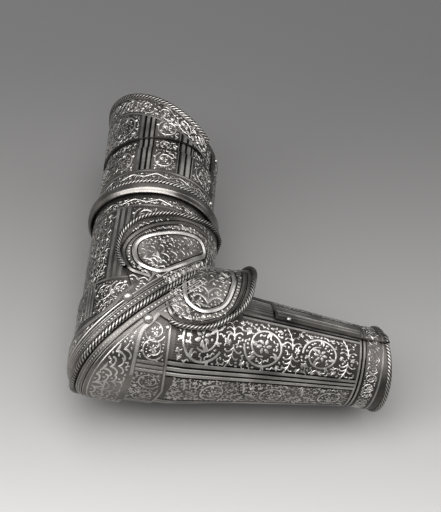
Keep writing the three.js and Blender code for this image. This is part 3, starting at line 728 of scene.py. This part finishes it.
# An acanthus plume: a stem with pairs of broad leaves that sweep out and hook over.
def plume(x, y, heading, length, bend, size, pairs):
    branch, joints = stem(x, y, heading, length, bend, pairs * 3, 1.5, 0.6)
    strokes = [branch]
    for i, (x, y, heading, share) in enumerate(joints):
        if i % 3 == 0:
            reach = size * (1 - 0.5 * share)
            for side in (1, -1):
                strokes += [
                    curl(x, y, heading + side * 0.5, reach, reach * 0.14, side * 3.4, 12),
                    leaf(x, y, heading + side * 0.35, reach * 0.6, reach * 0.17, side * 0.9)]
    return strokes + [leaf(x, y, heading, size * 0.6, size * 0.2, 0.3)]


# A stem that waves through a band from end to end, with leaves at each turn.
def vine(x0, x1, y, reach, pitch, width=1.1):
    count = max(2, round(abs(x1 - x0) / pitch))
    points = [(mix(x0, x1, share), y + reach * 0.5 * math.sin(share * count * math.pi))
              for share in stepped(0, 1, count * 8)]
    strokes = [(points, [width] * len(points))]
    for k in range(count):
        x = mix(x0, x1, (k + 0.5) / count)
        side = 1 if k % 2 == 0 else -1
        base = y + side * reach * 0.45
        strokes += [curl(x - pitch * 0.2, base, 0.1 * side, pitch * 0.75, width, -side * 4.4),
                    leaf(x, base, side * 1.1, reach * 0.62, width * 1.9, -side * 0.5),
                    leaf(x, base, math.pi - side * 1.1, reach * 0.5, width * 1.7, side * 0.5),
                    leaf(x + pitch * 0.15, y - side * reach * 0.85, side * 1.9, reach * 0.5,
                         width * 1.6, side * 0.8)]
    return strokes


def turned(strokes):
    return [([(y, x) for x, y in points], widths) for points, widths in strokes]


def mirrored(strokes, about):
    return [([(x, 2 * about - y) for x, y in points], widths) for points, widths in strokes]


def bothSides(strokes, about=180):
    return strokes + mirrored(strokes, about)


# Fills what is left of a panel with leaves, curls and dots, each as large as its gap.
def fillGaps(strokes, box, inside=None, width=1.35, largest=4.5, least=0.8):
    cell = 0.7
    taken = set()
    for points, widths in strokes:
        for (ax, ay), (bx, by), w in zip(points, points[1:], widths):
            pace = max(1, int(math.hypot(bx - ax, by - ay) / cell))
            reach = max(1, round((w / 2 + 0.3) / cell))
            for k in range(pace + 1):
                i, j = round(mix(ax, bx, k / pace) / cell), round(mix(ay, by, k / pace) / cell)
                taken.update((i + di, j + dj) for di in range(-reach, reach + 1)
                             for dj in range(-reach, reach + 1))
    spots = [(i, j) for i in range(math.ceil(box[0] / cell), int(box[2] / cell))
             for j in range(math.ceil(box[1] / cell), int(box[3] / cell))
             if (i, j) not in taken and (inside is None or inside(i * cell, j * cell))]
    free = set(spots)
    random.shuffle(spots)
    added = []
    for need in (largest, largest * 0.72, 2.4, 1.5, 0.8):
        if need < least:
            continue
        reach = int(need / cell)
        disc = [(di, dj) for di in range(-reach, reach + 1) for dj in range(-reach, reach + 1)
                if di * di + dj * dj <= reach * reach]
        disc.sort(key=lambda d: -abs(d[0]) - abs(d[1]))
        for i, j in spots:
            if (i, j) not in free or any((i + di, j + dj) not in free for di, dj in disc):
                continue
            x, y = i * cell, j * cell
            heading = random.uniform(0, math.tau)
            root = (x - math.cos(heading) * need * 0.85, y - math.sin(heading) * need * 0.85)
            bend = random.choice((-1, 1)) * random.uniform(3.8, 5)
            if need > 3:
                added += [curl(*root, heading, need * 2.7, need * 0.34, bend),
                          curl(*root, heading - 0.4, need * 1.4, need * 0.26, -bend)]
                added += [leaf(mix(root[0], x, share), mix(root[1], y, share),
                               heading + lean * bend / 4.4, need, need * 0.52, -lean * bend / 6)
                          for share, lean in ((0.5, -0.9), (0.9, -0.5), (0.3, 0.9))]
            elif need > 1.9:
                added += [curl(*root, heading, need * 2.3, width, bend),
                          leaf(*root, heading - bend * 0.2, need * 1.4, need * 0.75, -bend * 0.2)]
            elif need > 1:
                added.append(leaf(*root, heading, need * 2, width * 1.5, bend * 0.3))
            else:
                added.append(dot(x, y, width * 1.1))
            free.difference_update((i + di, j + dj) for di, dj in disc)
    return strokes + added


def fillPanels(strokes, panels, inside=None):
    for box, largest in panels:
        strokes = fillGaps(strokes, box, inside, largest=largest)
    return strokes


# How strokes are raised: their steel, their height, and whether their tops are flat.
cuts = {
    'scroll': ('wornSteel', 0.3, False), 'frieze': ('brightSteel', 0.3, False),
    'ground': ('groundSteel', 0.07, True), 'band': ('linedSteel', 0.35, True),
    # Groove strips carry painted shade: the sunk lines they mark are drawn near black, not cut in.
    'groove': ('grooveShadeSteel', 0.1, True), 'plume': ('linedSteel', 0.4, False),
    'roll': ('polishedSteel', 1.5, False), 'ring': ('brightSteel', 1.1, False),
    'cusp': ('linedSteel', 0.3, True), 'ridgeLine': ('wornSteel', 0.45, False),
    'ridgeGroove': ('grooveShadeSteel', 0.15, True),
}


# Raises strokes on a plate. All the strokes of a piece are rows of one grid, and the faces that
# join one stroke to the next are taken out.
def etch(name, body, limb, lay, strokes, kind='scroll'):
    probe, sunk, crown = 0.3, 0.05, 0.85
    material, height, flat = cuts[kind]
    rows, ends = [], []
    for points, widths in strokes:
        last = len(points) - 1
        for k, ((x, y), width) in enumerate(zip(points, widths)):
            ahead, behind = points[min(k + 1, last)], points[max(k - 1, 0)]
            tx, ty = ahead[0] - behind[0], ahead[1] - behind[1]
            size = math.hypot(tx, ty) or 1
            spot = lay(x, y)
            dx = (lay(x + probe, y) - spot) / probe
            dy = (lay(x, y + probe) - spot) / probe
            normal = dx.cross(dy).normalized()
            if normal.dot(spot - limb['dir'] * spot.dot(limb['dir'])) < 0:
                normal.negate()
            across = (dx * -ty + dy * tx) * (width / size / 2)
            top, foot = spot + normal * height * clamp(width / 0.7), spot - normal * sunk
            crest = [top - across * crown, top + across * crown] if flat else [top]
            rows.append([foot - across, *crest, foot + across])
        ends.append(len(rows) - 1)
    columns = len(rows[0]) - 1
    bm = bmesh.new()
    for vert, i, k in gridCorners(bm, columns, len(rows) - 1):
        vert.co = rows[k][i]
    bm.faces.ensure_lookup_table()
    joins = [bm.faces[k * columns + i] for k in ends[:-1] for i in range(columns)]
    bmesh.ops.delete(bm, geom=joins, context='FACES')
    bmesh.ops.recalc_face_normals(bm, faces=bm.faces)
    finishPiece(name, bm, body, material, sharp=50)


def layOn(limb, radius, perDegree=1.0):
    return lambda x, y: onArm(limb, x, y / perDegree, radius(x, y / perDegree))


def barsAt(x0, x1, places, width):
    return [straight(x0, y, x1, y, width, 40) for y in places]


def hoops(y0, y1, places, width):
    return [straight(x, y0, x, y1, width, 60) for x in places]


# Forearm: scroll friezes on a dark ground over both sides, striped bands, panels down the back
# and a ringed wrist.
foreCut = {
    'back': 162, 'perDegree': 0.9, 'friezeBox': (24, 85, 204, 131), 'friezeSwell': 1.3,
    'friezeRoundels': ((48, 108, 21, 0.5, 1), (109, 107.5, 20, math.pi, -1),
                       (166, 107.5, 18, math.pi, 1)),
    'plumes': (79, 137.5, 194.5), 'plumeMiddle': 108,
    'ground': [84.5 + 2 * k for k in range(24)], 'groundWidth': 2.1,
    'backPlaces': range(42, 188, 29), 'backBox': (28, 145, 204, 179),
    'wristPlaces': range(78, 247, 12), 'wristAlong': 220.5, 'wristBox': (214, 73, 227, 251),
    'bars': (132.2, 137.3, 142.4), 'foldBars': (77.5, 82.6), 'rings': (206.5, 210.4, 229.2),
    'doorBars': (54, 57.6, 61.2, 64.8, 68.4, 72), 'round': (72, 252),
    'grooves': (134.8, 139.9, 129.9, 144.8), 'foldGroove': (80.1,),
    'ringGrooves': (208.5, 212.2),
}
back = foreCut['back']
onFore = ('forearm', forearm, layOn(forearm, foreRadiusAt, foreCut['perDegree']))
frieze = roundels(foreCut['friezeRoundels'])
for x in foreCut['plumes']:
    for side in (1, -1):
        frieze += plume(x, foreCut['plumeMiddle'] + side * 2, side * 1.57, 18, side * 0.5, 11, 3)
frieze = fillGaps(frieze, foreCut['friezeBox'], largest=5.2, width=1.5, least=1)
frieze = [(points, [width * foreCut['friezeSwell'] for width in widths])
          for points, widths in frieze]
etch('forearm_frieze', *onFore, bothSides(frieze, back), 'frieze')
etch('forearm_ground', *onFore, bothSides(barsAt(22, 205.5, foreCut['ground'],
                                                 foreCut['groundWidth']), back), 'ground')
backPanel = []
for k, x in enumerate(foreCut['backPlaces']):
    if k % 2:
        backPanel += roundel(x, back, 12.5, 1.0, 1)
    else:
        for side in (1, -1):
            backPanel += palmette(x, back + side * 2, side * 1.57, 13, side * 0.6, 3)
            backPanel += palmette(x + side * 2, back, 1.57 - side * 1.57, 13, side, 3)
backPanel = fillGaps(backPanel, foreCut['backBox'], largest=3.6)
wristBand = roundelRow([(foreCut['wristAlong'], y) for y in foreCut['wristPlaces']], 5.4, 0.4)
etch('forearm_scrolls', *onFore,
     backPanel + fillGaps(wristBand, foreCut['wristBox'], largest=3))
bands = [straight(17, y, 207, y, 3.1, 50) for y in foreCut['bars']]
bands += [straight(86, y, 207, y + 0.6, 2.4, 40) for y in foreCut['foldBars']]
bands = bothSides(bands, back) + barsAt(84, 117, foreCut['doorBars'], 2)
etch('forearm_bands', *onFore, bands + hoops(*foreCut['round'], foreCut['rings'], 1.8), 'band')
grooves = barsAt(17, 207, foreCut['grooves'], 1.7) + barsAt(86, 207, foreCut['foldGroove'], 1.6)
etch('forearm_grooves', *onFore, bothSides(grooves, back) +
     hoops(*foreCut['round'], foreCut['ringGrooves'], 1.5), 'groove')
print('forearm ornament done')

# Door: plain bars beside its lap, and a scroll panel to the hinges.
doorCut = {
    'places': range(132, 196, 21), 'panel': (121, -44, 205, 50), 'rings': (207.5, 210.6, 228.4),
    'vine': (-52, 76, 219, 5, 13, 1.3), 'vineBox': (212, -52, 226, 76),
}
onDoor = ('door', forearm, layOn(forearm, doorRadius, foreCut['perDegree']))
scrolls = fillGaps(roundelRow([(x, 12) for x in doorCut['places']], 9.5, 0.4), doorCut['panel'],
                   largest=4)
scrolls += fillGaps(turned(vine(*doorCut['vine'])), doorCut['vineBox'], largest=3)
etch('door_scrolls', *onDoor, scrolls)
etch('door_bands', *onDoor, barsAt(121, 206, foreCut['doorBars'], 2) +
     hoops(-53, 77, doorCut['rings'], 1.6), 'band')

# Elbow lames: roundels under each shown edge, between striped bands. The fill stays clear of the
# bands and the rivets.
lameCut = {
    'perDegree': 1.1, 'middle': 198, 'bars': (163, 167.5, 172), 'edge': (-1.3,),
    'roundels': [(-15, y, 10.5, 0.4, 1) for y in (133, 150, 186, 210, 246, 263)],
    'box': (-40, 114, -3.8, 282), 'barClear': (23, 38), 'reach': 69,
}


def besideBars(x, y):
    off = abs(y - lameCut['middle'])
    return off < lameCut['reach'] and not lameCut['barClear'][0] < off < lameCut['barClear'][1]


def layOnLame(limb, radius, shown, hidden):
    return lambda x, y: lamePoint(limb, radius, hidden, y / lameCut['perDegree'],
                                  shown(y / lameCut['perDegree']) + x)


for name, limb, radius, ends in (('lower_lame', forearm, foreRadiusAt, lameEnd[:2]),
                                 ('upper_lame', upperArm, upperRadiusAt, lameEnd[2:])):
    onLame = (name, limb, layOnLame(limb, radius, *ends))
    etch(name + '_scrolls', *onLame, fillGaps(roundels(lameCut['roundels']), lameCut['box'],
                                              besideBars, largest=3.6))
    bands = bothSides(barsAt(-40, -3, lameCut['bars'], 2.8), lameCut['middle'])
    etch(name + '_edge', *onLame, bands + hoops(113.5, 282.5, lameCut['edge'], 2), 'band')

# Upper cannon: striped bands, dim panels and a frieze beside the collar.
upperCut = {
    'roundels': [(x, 180, 13, 0.3, spin) for x, spin in ((39, 1), (64, -1), (92, 1))] +
                [(x, y, 11.5, 0.9, spin) for x in (47, 70, 93)
                 for y, spin in ((153, 1), (207, -1))],
    'panel': (26, 140, 108, 220), 'side': (97, 108, 11, 0.5, 1), 'sideBox': (87, 96, 108, 121),
    'vine': (-175, 175, 117, 3.6, 12), 'vineBox': (112.6, -175, 121.6, 175),
    'front': (86, -92, 104, 92), 'bars': (123.9, 129.8, 135.6), 'frontBar': (94,),
    'ring': (110.6,),
}
onUpper = ('upper_arm', upperArm, layOn(upperArm, upperRadiusAt))
scrolls = fillGaps(roundels(upperCut['roundels']), upperCut['panel'], largest=4)
scrolls += bothSides(fillGaps(roundel(*upperCut['side']), upperCut['sideBox']), 0)
scrolls += fillGaps(turned(vine(*upperCut['vine'])), upperCut['vineBox'], largest=2.8)
etch('upper_scrolls', *onUpper, scrolls + fillGaps([], upperCut['front'], largest=5, least=1))
bands = barsAt(19, 109, upperCut['bars'], 3.2) + barsAt(76, 107, upperCut['frontBar'], 2.4)
etch('upper_bands', *onUpper, bothSides(bands, 0) + hoops(-175, 175, upperCut['ring'], 2), 'band')

# Turning tube and its lames: one scheme of stripes and panels that runs on from plate to plate.
# Stripes are (place, width), and panels are (box, largest leaf).
tubeCut = {
    'stripes': ((112.2, 2.7), (117.5, 3.0), (123.2, 2.7), (72, 4.2), (78.3, 3.6), (67.5, 1.0),
                (83.6, 1.0)),
    'grooves': ((114.8, 2.0), (120.3, 2.2), (75.2, 1.6), (69, 1.2), (81.9, 1.6), (109.8, 1.4)),
    'turnerRoundels': ((172, 97, 9.5, 0.5, 1), (172.5, 142, 13, 0.4, -1), (172.5, 168, 9, 0.4, 1),
                       (172, 52, 10, 0.5, 1)),
    'turnerPanels': (((159, 85, 186, 108), 3), ((159, 127, 186, 180), 4.5),
                     ((159, 38, 186, 66), 4.5)),
    'vine': (2, 358, 150.5, 3.4, 12), 'vineBox': (146.8, 1, 154.2, 359), 'rings': (145.2, 156),
    'front': (190, 0, 20, 0.4, 1), 'frontBox': (159, -31, 212, 31), 'frontRing': (214,),
    'secondRoundels': ((193.5, 97, 5.5, 0.5, 1),),
    'secondPanels': (((188, 85, 199.4, 108), 2.6), ((188, 127, 199.4, 180), 3.6),
                     ((188, 50, 199.4, 66), 3), ((188, 39, 218, 48), 3)),
    'topRoundels': ((214, 97, 10, 0.5, 1), (221, 145, 14, 0.4, -1)),
    'topPanels': (((202, 85, 230, 108), 3), ((202, 127, 246, 180), 4.5)),
    'topPlaces': range(60, 301, 20), 'topBox': (-25.5, 51, -7, 309),
    'topRings': (-27.3, -5.4), 'panelEnd': -29.5, 'stripeEnd': -28.4,
}


# Stripes and the grooves between them, from a line along the tube to an edge.
def addStripes(name, on, starts, end, extra=()):
    for title, kind, key, start in ((name + '_bands', 'band', 'stripes', starts[0]),
                                    (name + '_grooves', 'groove', 'grooves', starts[1])):
        made = [straight(start, y, end(y) if callable(end) else end, y, width)
                for place, width in tubeCut[key] for y in (place, 360 - place)]
        etch(title, *on, made + list(extra if kind == 'band' else ()), kind)


onTurner = ('turner', upperArm, layOn(upperArm, turnerRadiusAt))
scrolls = fillPanels(roundels(tubeCut['turnerRoundels']), tubeCut['turnerPanels'])
scrolls = fillGaps(bothSides(scrolls) + turned(vine(*tubeCut['vine'])), tubeCut['vineBox'],
                   largest=2.6)
etch('turner_scrolls', *onTurner,
     scrolls + fillGaps(roundel(*tubeCut['front']), tubeCut['frontBox']))
addStripes('turner', onTurner, (157.5, 158), 187, hoops(0.2, 359.8, tubeCut['rings'], 1.9) +
           hoops(-34, 34, tubeCut['frontRing'], 2))
collar = bmesh.new()
addSheet(collar, span(upperArm, lambda along, turn: turnerRadiusAt(along, turn) + 0.15,
                      cad['collarStart'] + 0.3, cad['collarStart'] + cad['collarWidth']),
         (0, 360, 200), stepped(0, 1, 24), 0.1)
finishPiece('collar_band', collar, 'turner', 'polishedSteel')

onSecond = ('second_lame', upperArm, layOn(upperArm, tube(innerLame)))
etch('second_lame_scrolls', *onSecond, bothSides(fillPanels(
    roundels(tubeCut['secondRoundels']), tubeCut['secondPanels'])))
addStripes('second_lame', onSecond, (187.5, 187.5), 200)

topLay = layOn(upperArm, tube(cad['turnerRadius']))
onTop = ('top_lame', upperArm, topLay)
onTopEdge = ('top_lame', upperArm, lambda x, y: topLay(topEdge(y) + x, y))
etch('top_lame_scrolls', *onTop, bothSides(fillPanels(
    roundels(tubeCut['topRoundels']), tubeCut['topPanels'],
    lambda x, y: x < topEdge(y) + tubeCut['panelEnd'])))
topFrieze = roundelRow([(-16, y) for y in tubeCut['topPlaces']], 8.6, 0.5)
etch('top_lame_frieze', *onTopEdge, fillGaps(topFrieze, tubeCut['topBox'], largest=3.4))
etch('top_lame_ring', *onTopEdge, hoops(50, 310, tubeCut['topRings'], 1.9), 'band')
addStripes('top_lame', onTop, (200.6, 200.6), lambda y: topEdge(y) + tubeCut['stripeEnd'])
print('upper ornament done')

# Couter: lines and beads beside the ridge, leaves over the elbow, and on each lobe a raised roll
# round an oval ring with a plume in it. Gaps, widths and heights are in millimetres.
couterCut = {
    'perDegree': 1.1, 'rollWidth': 3.4, 'rollGap': 2.5,
    'ringWidth': 4.2, 'ringGap': 2.8, 'grooveWidth': 1.1,
    'plumeClear': 3, 'plumeBox': (24, 20, 86, 130), 'borderBox': (8, 8, 96, 150),
    'outerBox': (-75, 4, 104, 198), 'ridgeClear': 15.6, 'rimClear': 5,
    'leafTurns': (98, 112, 127, 143, 160, 178), 'leafOff': 16.5, 'leaf': (-0.5, 30, 0.6, 15, 4),
    'cuspOff': 2.2, 'cuspWidth': 3.4, 'beadOff': 6.9, 'beadSize': 2.3, 'beadTurns': (54, 306, 96),
    'ridgeLine': ((4.6, 1.1), (9.2, 1.0), (11, 1.0), (14.4, 1.3)),
    'ridgeGroove': ((3.4, 1.6), (10.1, 0.9)),
}


def besideRidge(limb, off, turns, width):
    points = [(mitreOf(limb, turn) + off / math.sin(angle / 2), turn * couterCut['perDegree'])
              for turn in stepped(*turns)]
    return points, [width] * len(points)


def onLobe(limb, line, width, closed=False):
    spots = smoothLine([Vector((a, f, 0)) for a, f in line], 6, closed)
    if closed:
        spots.append(spots[0])
    return [(p.x, turnAt(limb, p.x, p.y) * couterCut['perDegree'])
            for p in spots], [width] * len(spots)


def beside(points, offset, width):
    moved = []
    for k, (x, y) in enumerate(points):
        (ax, ay), (bx, by) = points[max(k - 1, 0)], points[min(k + 1, len(points) - 1)]
        size = math.hypot(bx - ax, by - ay) or 1
        moved.append((x - (by - ay) / size * offset, y + (bx - ax) / size * offset))
    return moved, [width] * len(moved)


def within(line, x, y):
    inside = False
    for (ax, ay), (bx, by) in zip(line, line[1:] + line[:1]):
        if (ay > y) != (by > y) and x < ax + (bx - ax) * (y - ay) / (by - ay):
            inside = not inside
    return inside


def farFrom(line, x, y, least):
    return all((x - px) ** 2 + (y - py) ** 2 > least * least for px, py in line)


# The roll and the ring of a lobe are (along, forward) points, and the plume starts at one.
lobes = {
    'upper': {
        'limb': upperArm,
        'roll': ((21, -8), (27, -26), (47, -35), (66, -29), (83, -9), (93.5, 20), (95, 44)),
        'ring': ((83, 38), (82, 21), (74, -3), (63, -21), (48.6, -25), (34, -18), (30, 1),
                 (43, 19), (58, 34), (71, 44)),
        'closed': True, 'plumeAt': (39, -19), 'plume': (-1.0, 56, -0.1, 15, 6),
        'ridgeTurns': (52, 308, 150),
    },
    'lower': {
        'limb': forearm,
        'roll': ((10.6, -5), (18, -19), (42, -23), (70, -9), (83, 19), (88, 50)),
        'ring': ((75, 46), (75, 28), (65, 1), (46, -9), (31, -1.5), (27, 16), (30, 44)),
        'closed': False, 'plumeAt': (49, -4), 'plume': (-1.5, 46, -0.1, 19, 4),
        'ridgeTurns': (68, 292, 134),
    },
}
rimSpots = [(p.x, p.y) for p in outline]
for name, lobe in lobes.items():
    limb, perDegree = lobe['limb'], couterCut['perDegree']
    lay = lambda x, y: couterAt(limb, y / perDegree, x)
    onCouter = ('elbow', limb, lay)
    rollStroke = onLobe(limb, lobe['roll'], couterCut['rollWidth'])
    ringStroke = onLobe(limb, lobe['ring'], couterCut['ringWidth'], closed=lobe['closed'])
    rollLine, ringLine = rollStroke[0], ringStroke[0]
    rollArea = rollLine + [(rollLine[-1][0], 0), (rollLine[0][0], 0)]

    def onPlate(x, y):
        spot = lay(x, y)
        ridge = mitreOf(limb, y / perDegree) + couterCut['ridgeClear'] / math.sin(angle / 2)
        return (x > ridge and within(rimSpots, spot.x, spot.y) and
                farFrom(rimSpots, spot.x, spot.y, couterCut['rimClear']))

    along, forward = lobe['plumeAt']
    core = plume(along, turnAt(limb, along, forward) * perDegree, *lobe['plume'])
    core = [stroke for stroke in core if all(
        within(ringLine, x, y) and farFrom(ringLine, x, y, couterCut['plumeClear'])
        for x, y in stroke[0])]
    core = fillGaps(core, couterCut['plumeBox'], lambda x, y: within(ringLine, x, y) and
                    farFrom(ringLine, x, y, 3.6), width=1.1, largest=3.4, least=1.2)
    scrolls = fillGaps([], couterCut['borderBox'], lambda x, y: within(rollArea, x, y) and
                       not within(ringLine, x, y) and farFrom(ringLine, x, y, 3.4) and
                       farFrom(rollLine, x, y, 3.4), width=1.2, largest=3.2, least=1)
    leaves = []
    for turn in couterCut['leafTurns']:
        root = besideRidge(limb, couterCut['leafOff'], (turn, 180, 1), 1)[0][0]
        leaves += plume(*root, *couterCut['leaf'])
    leaves = [stroke for stroke in leaves if all(onPlate(x, y) for x, y in stroke[0][1:])]
    scrolls += fillGaps(leaves, couterCut['outerBox'], lambda x, y: not within(
        rollArea, x, y) and farFrom(rollLine, x, y, 3.2) and onPlate(x, y), largest=5, least=1)
    cusp = [(p.dot(limb['dir']), p.dot(limb['front'])) for p in flatRim(name + 'Cusp')]
    cusp = [(a, turnAt(limb, a, f) * perDegree) for a, f in cusp
            if f > -cad['couterRadius'] * 0.995]
    cuspStroke = beside(cusp, couterCut['cuspOff'], couterCut['cuspWidth'])
    # Painted shade: near-black lines hugging both sides of the roll and the ring.
    framed = [beside(line, gap * way, couterCut['grooveWidth'])
              for line, gap in ((rollLine, couterCut['rollGap']),
                                (ringLine, couterCut['ringGap'])) for way in (-1, 1)]
    for title, strokes, kind in (
            ('lobe_scrolls', scrolls, 'scroll'), ('lobe_plume', core, 'plume'),
            ('lobe_roll', [rollStroke], 'roll'), ('lobe_ring', [ringStroke], 'ring'),
            ('cusp_band', [cuspStroke], 'cusp'), ('lobe_grooves', framed, 'groove')):
        etch(f'{name}_{title}', *onCouter, bothSides(strokes, 0), kind)
    beads = besideRidge(limb, couterCut['beadOff'], couterCut['beadTurns'], 1)[0]
    beads = [dot(x, y, couterCut['beadSize']) for x, y in beads]
    for title, kind, extra in (('ridge_lines', 'ridgeLine', beads),
                               ('ridge_grooves', 'ridgeGroove', [])):
        lines = [besideRidge(limb, off, lobe['ridgeTurns'], width)
                 for off, width in couterCut[kind]]
        etch(f'{name}_{title}', *onCouter, lines + extra, kind)
print('couter ornament done')

# Rivets get smooth domes, and the pieces kept from the CAD their own steel. The heads on the side
# that lies down stay low.
rivets = {
    'pivotLean': 24, 'lowHead': 0.1,
    'pivot': {'radius': 4.8, 'base': 2.6, 'high': 4.5},
    'stud': {'radius': 2.6, 'base': 1.3, 'high': 1.8},
    'small': {'radius': 2.3, 'base': 1.3, 'high': 1.8},
    'tubeTurns': {'second_lame_rivet_{}': 29.5, 'top_lame_rivet_{}': 64,
                  'turner_{}_seam_rivet_1': 33, 'turner_{}_seam_rivet_2': 41},
}


def aroundTube(limb, turn):
    return limb['front'] * math.cos(math.radians(turn)) + sideDir * math.sin(math.radians(turn))


domes = [('door_stud', aroundTube(forearm, cad['doorTo'] + cad['doorLap'] * 0.5), 'stud')]
lean = math.radians(rivets['pivotLean'])
for side, end in ((1, 'outer'), (-1, 'inner')):
    axis = sideDir * (side * math.cos(lean)) - outDir * math.sin(lean)
    domes += [(f'{title}_rivet_{end}', axis, kind) for title, kind in (
        ('couter_lower', 'pivot'), ('couter_upper', 'pivot'), ('lower_lame', 'small'),
        ('upper_lame', 'small'))]
    domes += [(title.format(end), aroundTube(upperArm, turn * side), 'small')
              for title, turn in rivets['tubeTurns'].items()]
toArm = toFrame.inverted()
for name, axis, kind in domes:
    rivet, radius, base = frame['nodes'][name], rivets[kind]['radius'], rivets[kind]['base']
    high = base + rivets['lowHead'] if name.endswith('inner') else rivets[kind]['high']
    tip = max((toArm @ (rivet.matrix_world @ v.co) for v in rivet.data.vertices),
              key=lambda spot: spot.dot(axis))
    dome = bmesh.new()
    bmesh.ops.create_uvsphere(dome, u_segments=32, v_segments=20, radius=radius)
    bmesh.ops.bisect_plane(dome, geom=dome.verts[:] + dome.edges[:] + dome.faces[:],
                           plane_co=(0, 0, 0), plane_no=(0, 0, 1), clear_inner=True)
    bmesh.ops.scale(dome, vec=(1, 1, high / radius), verts=dome.verts)
    seat = axis.to_track_quat('Z', 'Y').to_matrix().to_4x4()
    bmesh.ops.transform(dome, matrix=Matrix.Translation(tip - axis * base) @ seat,
                        verts=dome.verts)
    finishPiece(name + '_dome', dome, body_of(rivet)[0], 'ropeSteel')
    rivet.material_slots[0].material = materials['brightSteel']
for name in ('turner_outer_seam_strip', 'turner_inner_seam_strip', 'elbow_hinge_fixed_leaf',
             'elbow_hinge_moving_leaf', 'wrist_hinge_fixed_leaf', 'wrist_hinge_moving_leaf'):
    frame['nodes'][name].material_slots[0].material = materials['innerSteel']
for name in ('elbow_hinge_pin', 'wrist_hinge_pin'):
    frame['nodes'][name].material_slots[0].material = materials['polishedSteel']
print('rivets done')

# Camera at the photograph's angle, over the point where the tube axes cross.
view = {'out': -0.52, 'across': -0.30, 'spotPixel': (140, 334), 'mmPerPixel': 0.95, 'tilt': -8.5,
        'distance': 1600, 'pixels': (441, 512), 'sensor': 24, 'near': 0.05, 'far': 30}
aim = (outDir * view['out'] + acrossDir * view['across'] +
       sideDir * math.sqrt(1 - view['out'] ** 2 - view['across'] ** 2))
flatFore = (foreDir - aim * foreDir.dot(aim)).normalized()
foreUp = aim.cross(flatFore)
tilt = math.radians(view['tilt'])
right = flatFore * math.cos(tilt) - foreUp * math.sin(tilt)
up = flatFore * math.sin(tilt) + foreUp * math.cos(tilt)
camera = bpy.data.objects.new('camera', bpy.data.cameras.new('camera'))
bpy.context.scene.collection.objects.link(camera)
cameraPlace = toFrame @ Matrix.Translation(aim * view['distance'])
cameraPlace = cameraPlace @ Matrix((right, up, aim)).transposed().to_4x4()
camera.location = cameraPlace.to_translation()
camera.rotation_euler = cameraPlace.to_quaternion().to_euler()
pixelsWide, pixelsHigh = view['pixels']
camera.data.sensor_fit = 'VERTICAL'
camera.data.sensor_height = view['sensor']
camera.data.lens = view['sensor'] * view['distance'] / (pixelsHigh * view['mmPerPixel'])
camera.data.shift_x = (pixelsWide / 2 - view['spotPixel'][0]) / pixelsHigh
camera.data.shift_y = -(pixelsHigh / 2 - view['spotPixel'][1]) / pixelsHigh
camera.data.clip_start, camera.data.clip_end = view['near'], view['far']
bpy.context.scene.camera = camera
bpy.context.scene.view_settings.view_transform = 'Standard'

# Room: a paper floor with painted shade, darker up the picture, and soft light from above.
# Sizes in metres.
room = {
    'top': '575656', 'bottom': 'b4b3b1', 'fade': 1.9, 'reach': 0.3, 'roughness': 0.95,
    'floorSize': 6, 'air': 'cbcbcc', 'airStrength': 0.56, 'lampAim': (-0.03, 0, 0.06),
    'lamps': {
        'overheadSoft': {'place': (-0.25, -0.3, 1.4), 'size': 1.5, 'power': 37},
        'leftSoft': {'place': (-1.3, -0.5, 0.9), 'size': 0.8, 'power': 13},
        'rightFill': {'place': (1.2, 0.2, 1.0), 'size': 1.2, 'power': 7},
    },
}
paper = bpy.data.materials.new('paperFloor')
paper.use_nodes = True
tree = paper.node_tree
shader = tree.nodes['Principled BSDF']
place = addNode(tree, 'ShaderNodeTexCoord').outputs['Object']
# Painted shade: the floor's colour runs from light at the bottom of the picture to dark at its
# top.
towards = addNode(tree, 'ShaderNodeVectorMath', {'operation': 'DOT_PRODUCT'}, _0=place,
                  _1=tuple(toFrame.to_3x3().normalized() @ up))
ramp = addNode(tree, 'ShaderNodeMapRange', Value=towards.outputs['Value'], From_Min=room['reach'],
               From_Max=-room['reach'])
fade = addNode(tree, 'ShaderNodeMath', {'operation': 'POWER'}, _0=ramp.outputs[0], _1=room['fade'])
paperShade = addNode(tree, 'ShaderNodeMix', {'data_type': 'RGBA'}, _0=fade.outputs[0],
                     _6=linear(room['top']), _7=linear(room['bottom']))
tree.links.new(paperShade.outputs[2], shader.inputs['Base Color'])
shader.inputs['Roughness'].default_value = room['roughness']
floorMesh = bmesh.new()
bmesh.ops.create_grid(floorMesh, x_segments=1, y_segments=1, size=room['floorSize'])
floor = bareObject('floor', floorMesh)
floor.data.materials.append(paper)

world = bpy.data.worlds.new('room')
bpy.context.scene.world = world
world.use_nodes = True
background = world.node_tree.nodes['Background']
background.inputs['Color'].default_value = linear(room['air'])
background.inputs['Strength'].default_value = room['airStrength']
for name, lamp in room['lamps'].items():
    data = bpy.data.lights.new(name, 'AREA')
    data.size = lamp['size']
    data.energy = lamp['power']
    light = bpy.data.objects.new(name, data)
    light.location = lamp['place']
    towardsPart = Vector(room['lampAim']) - light.location
    light.rotation_euler = towardsPart.to_track_quat('-Z', 'Y').to_euler()
    bpy.context.scene.collection.objects.link(light)
print('room done')
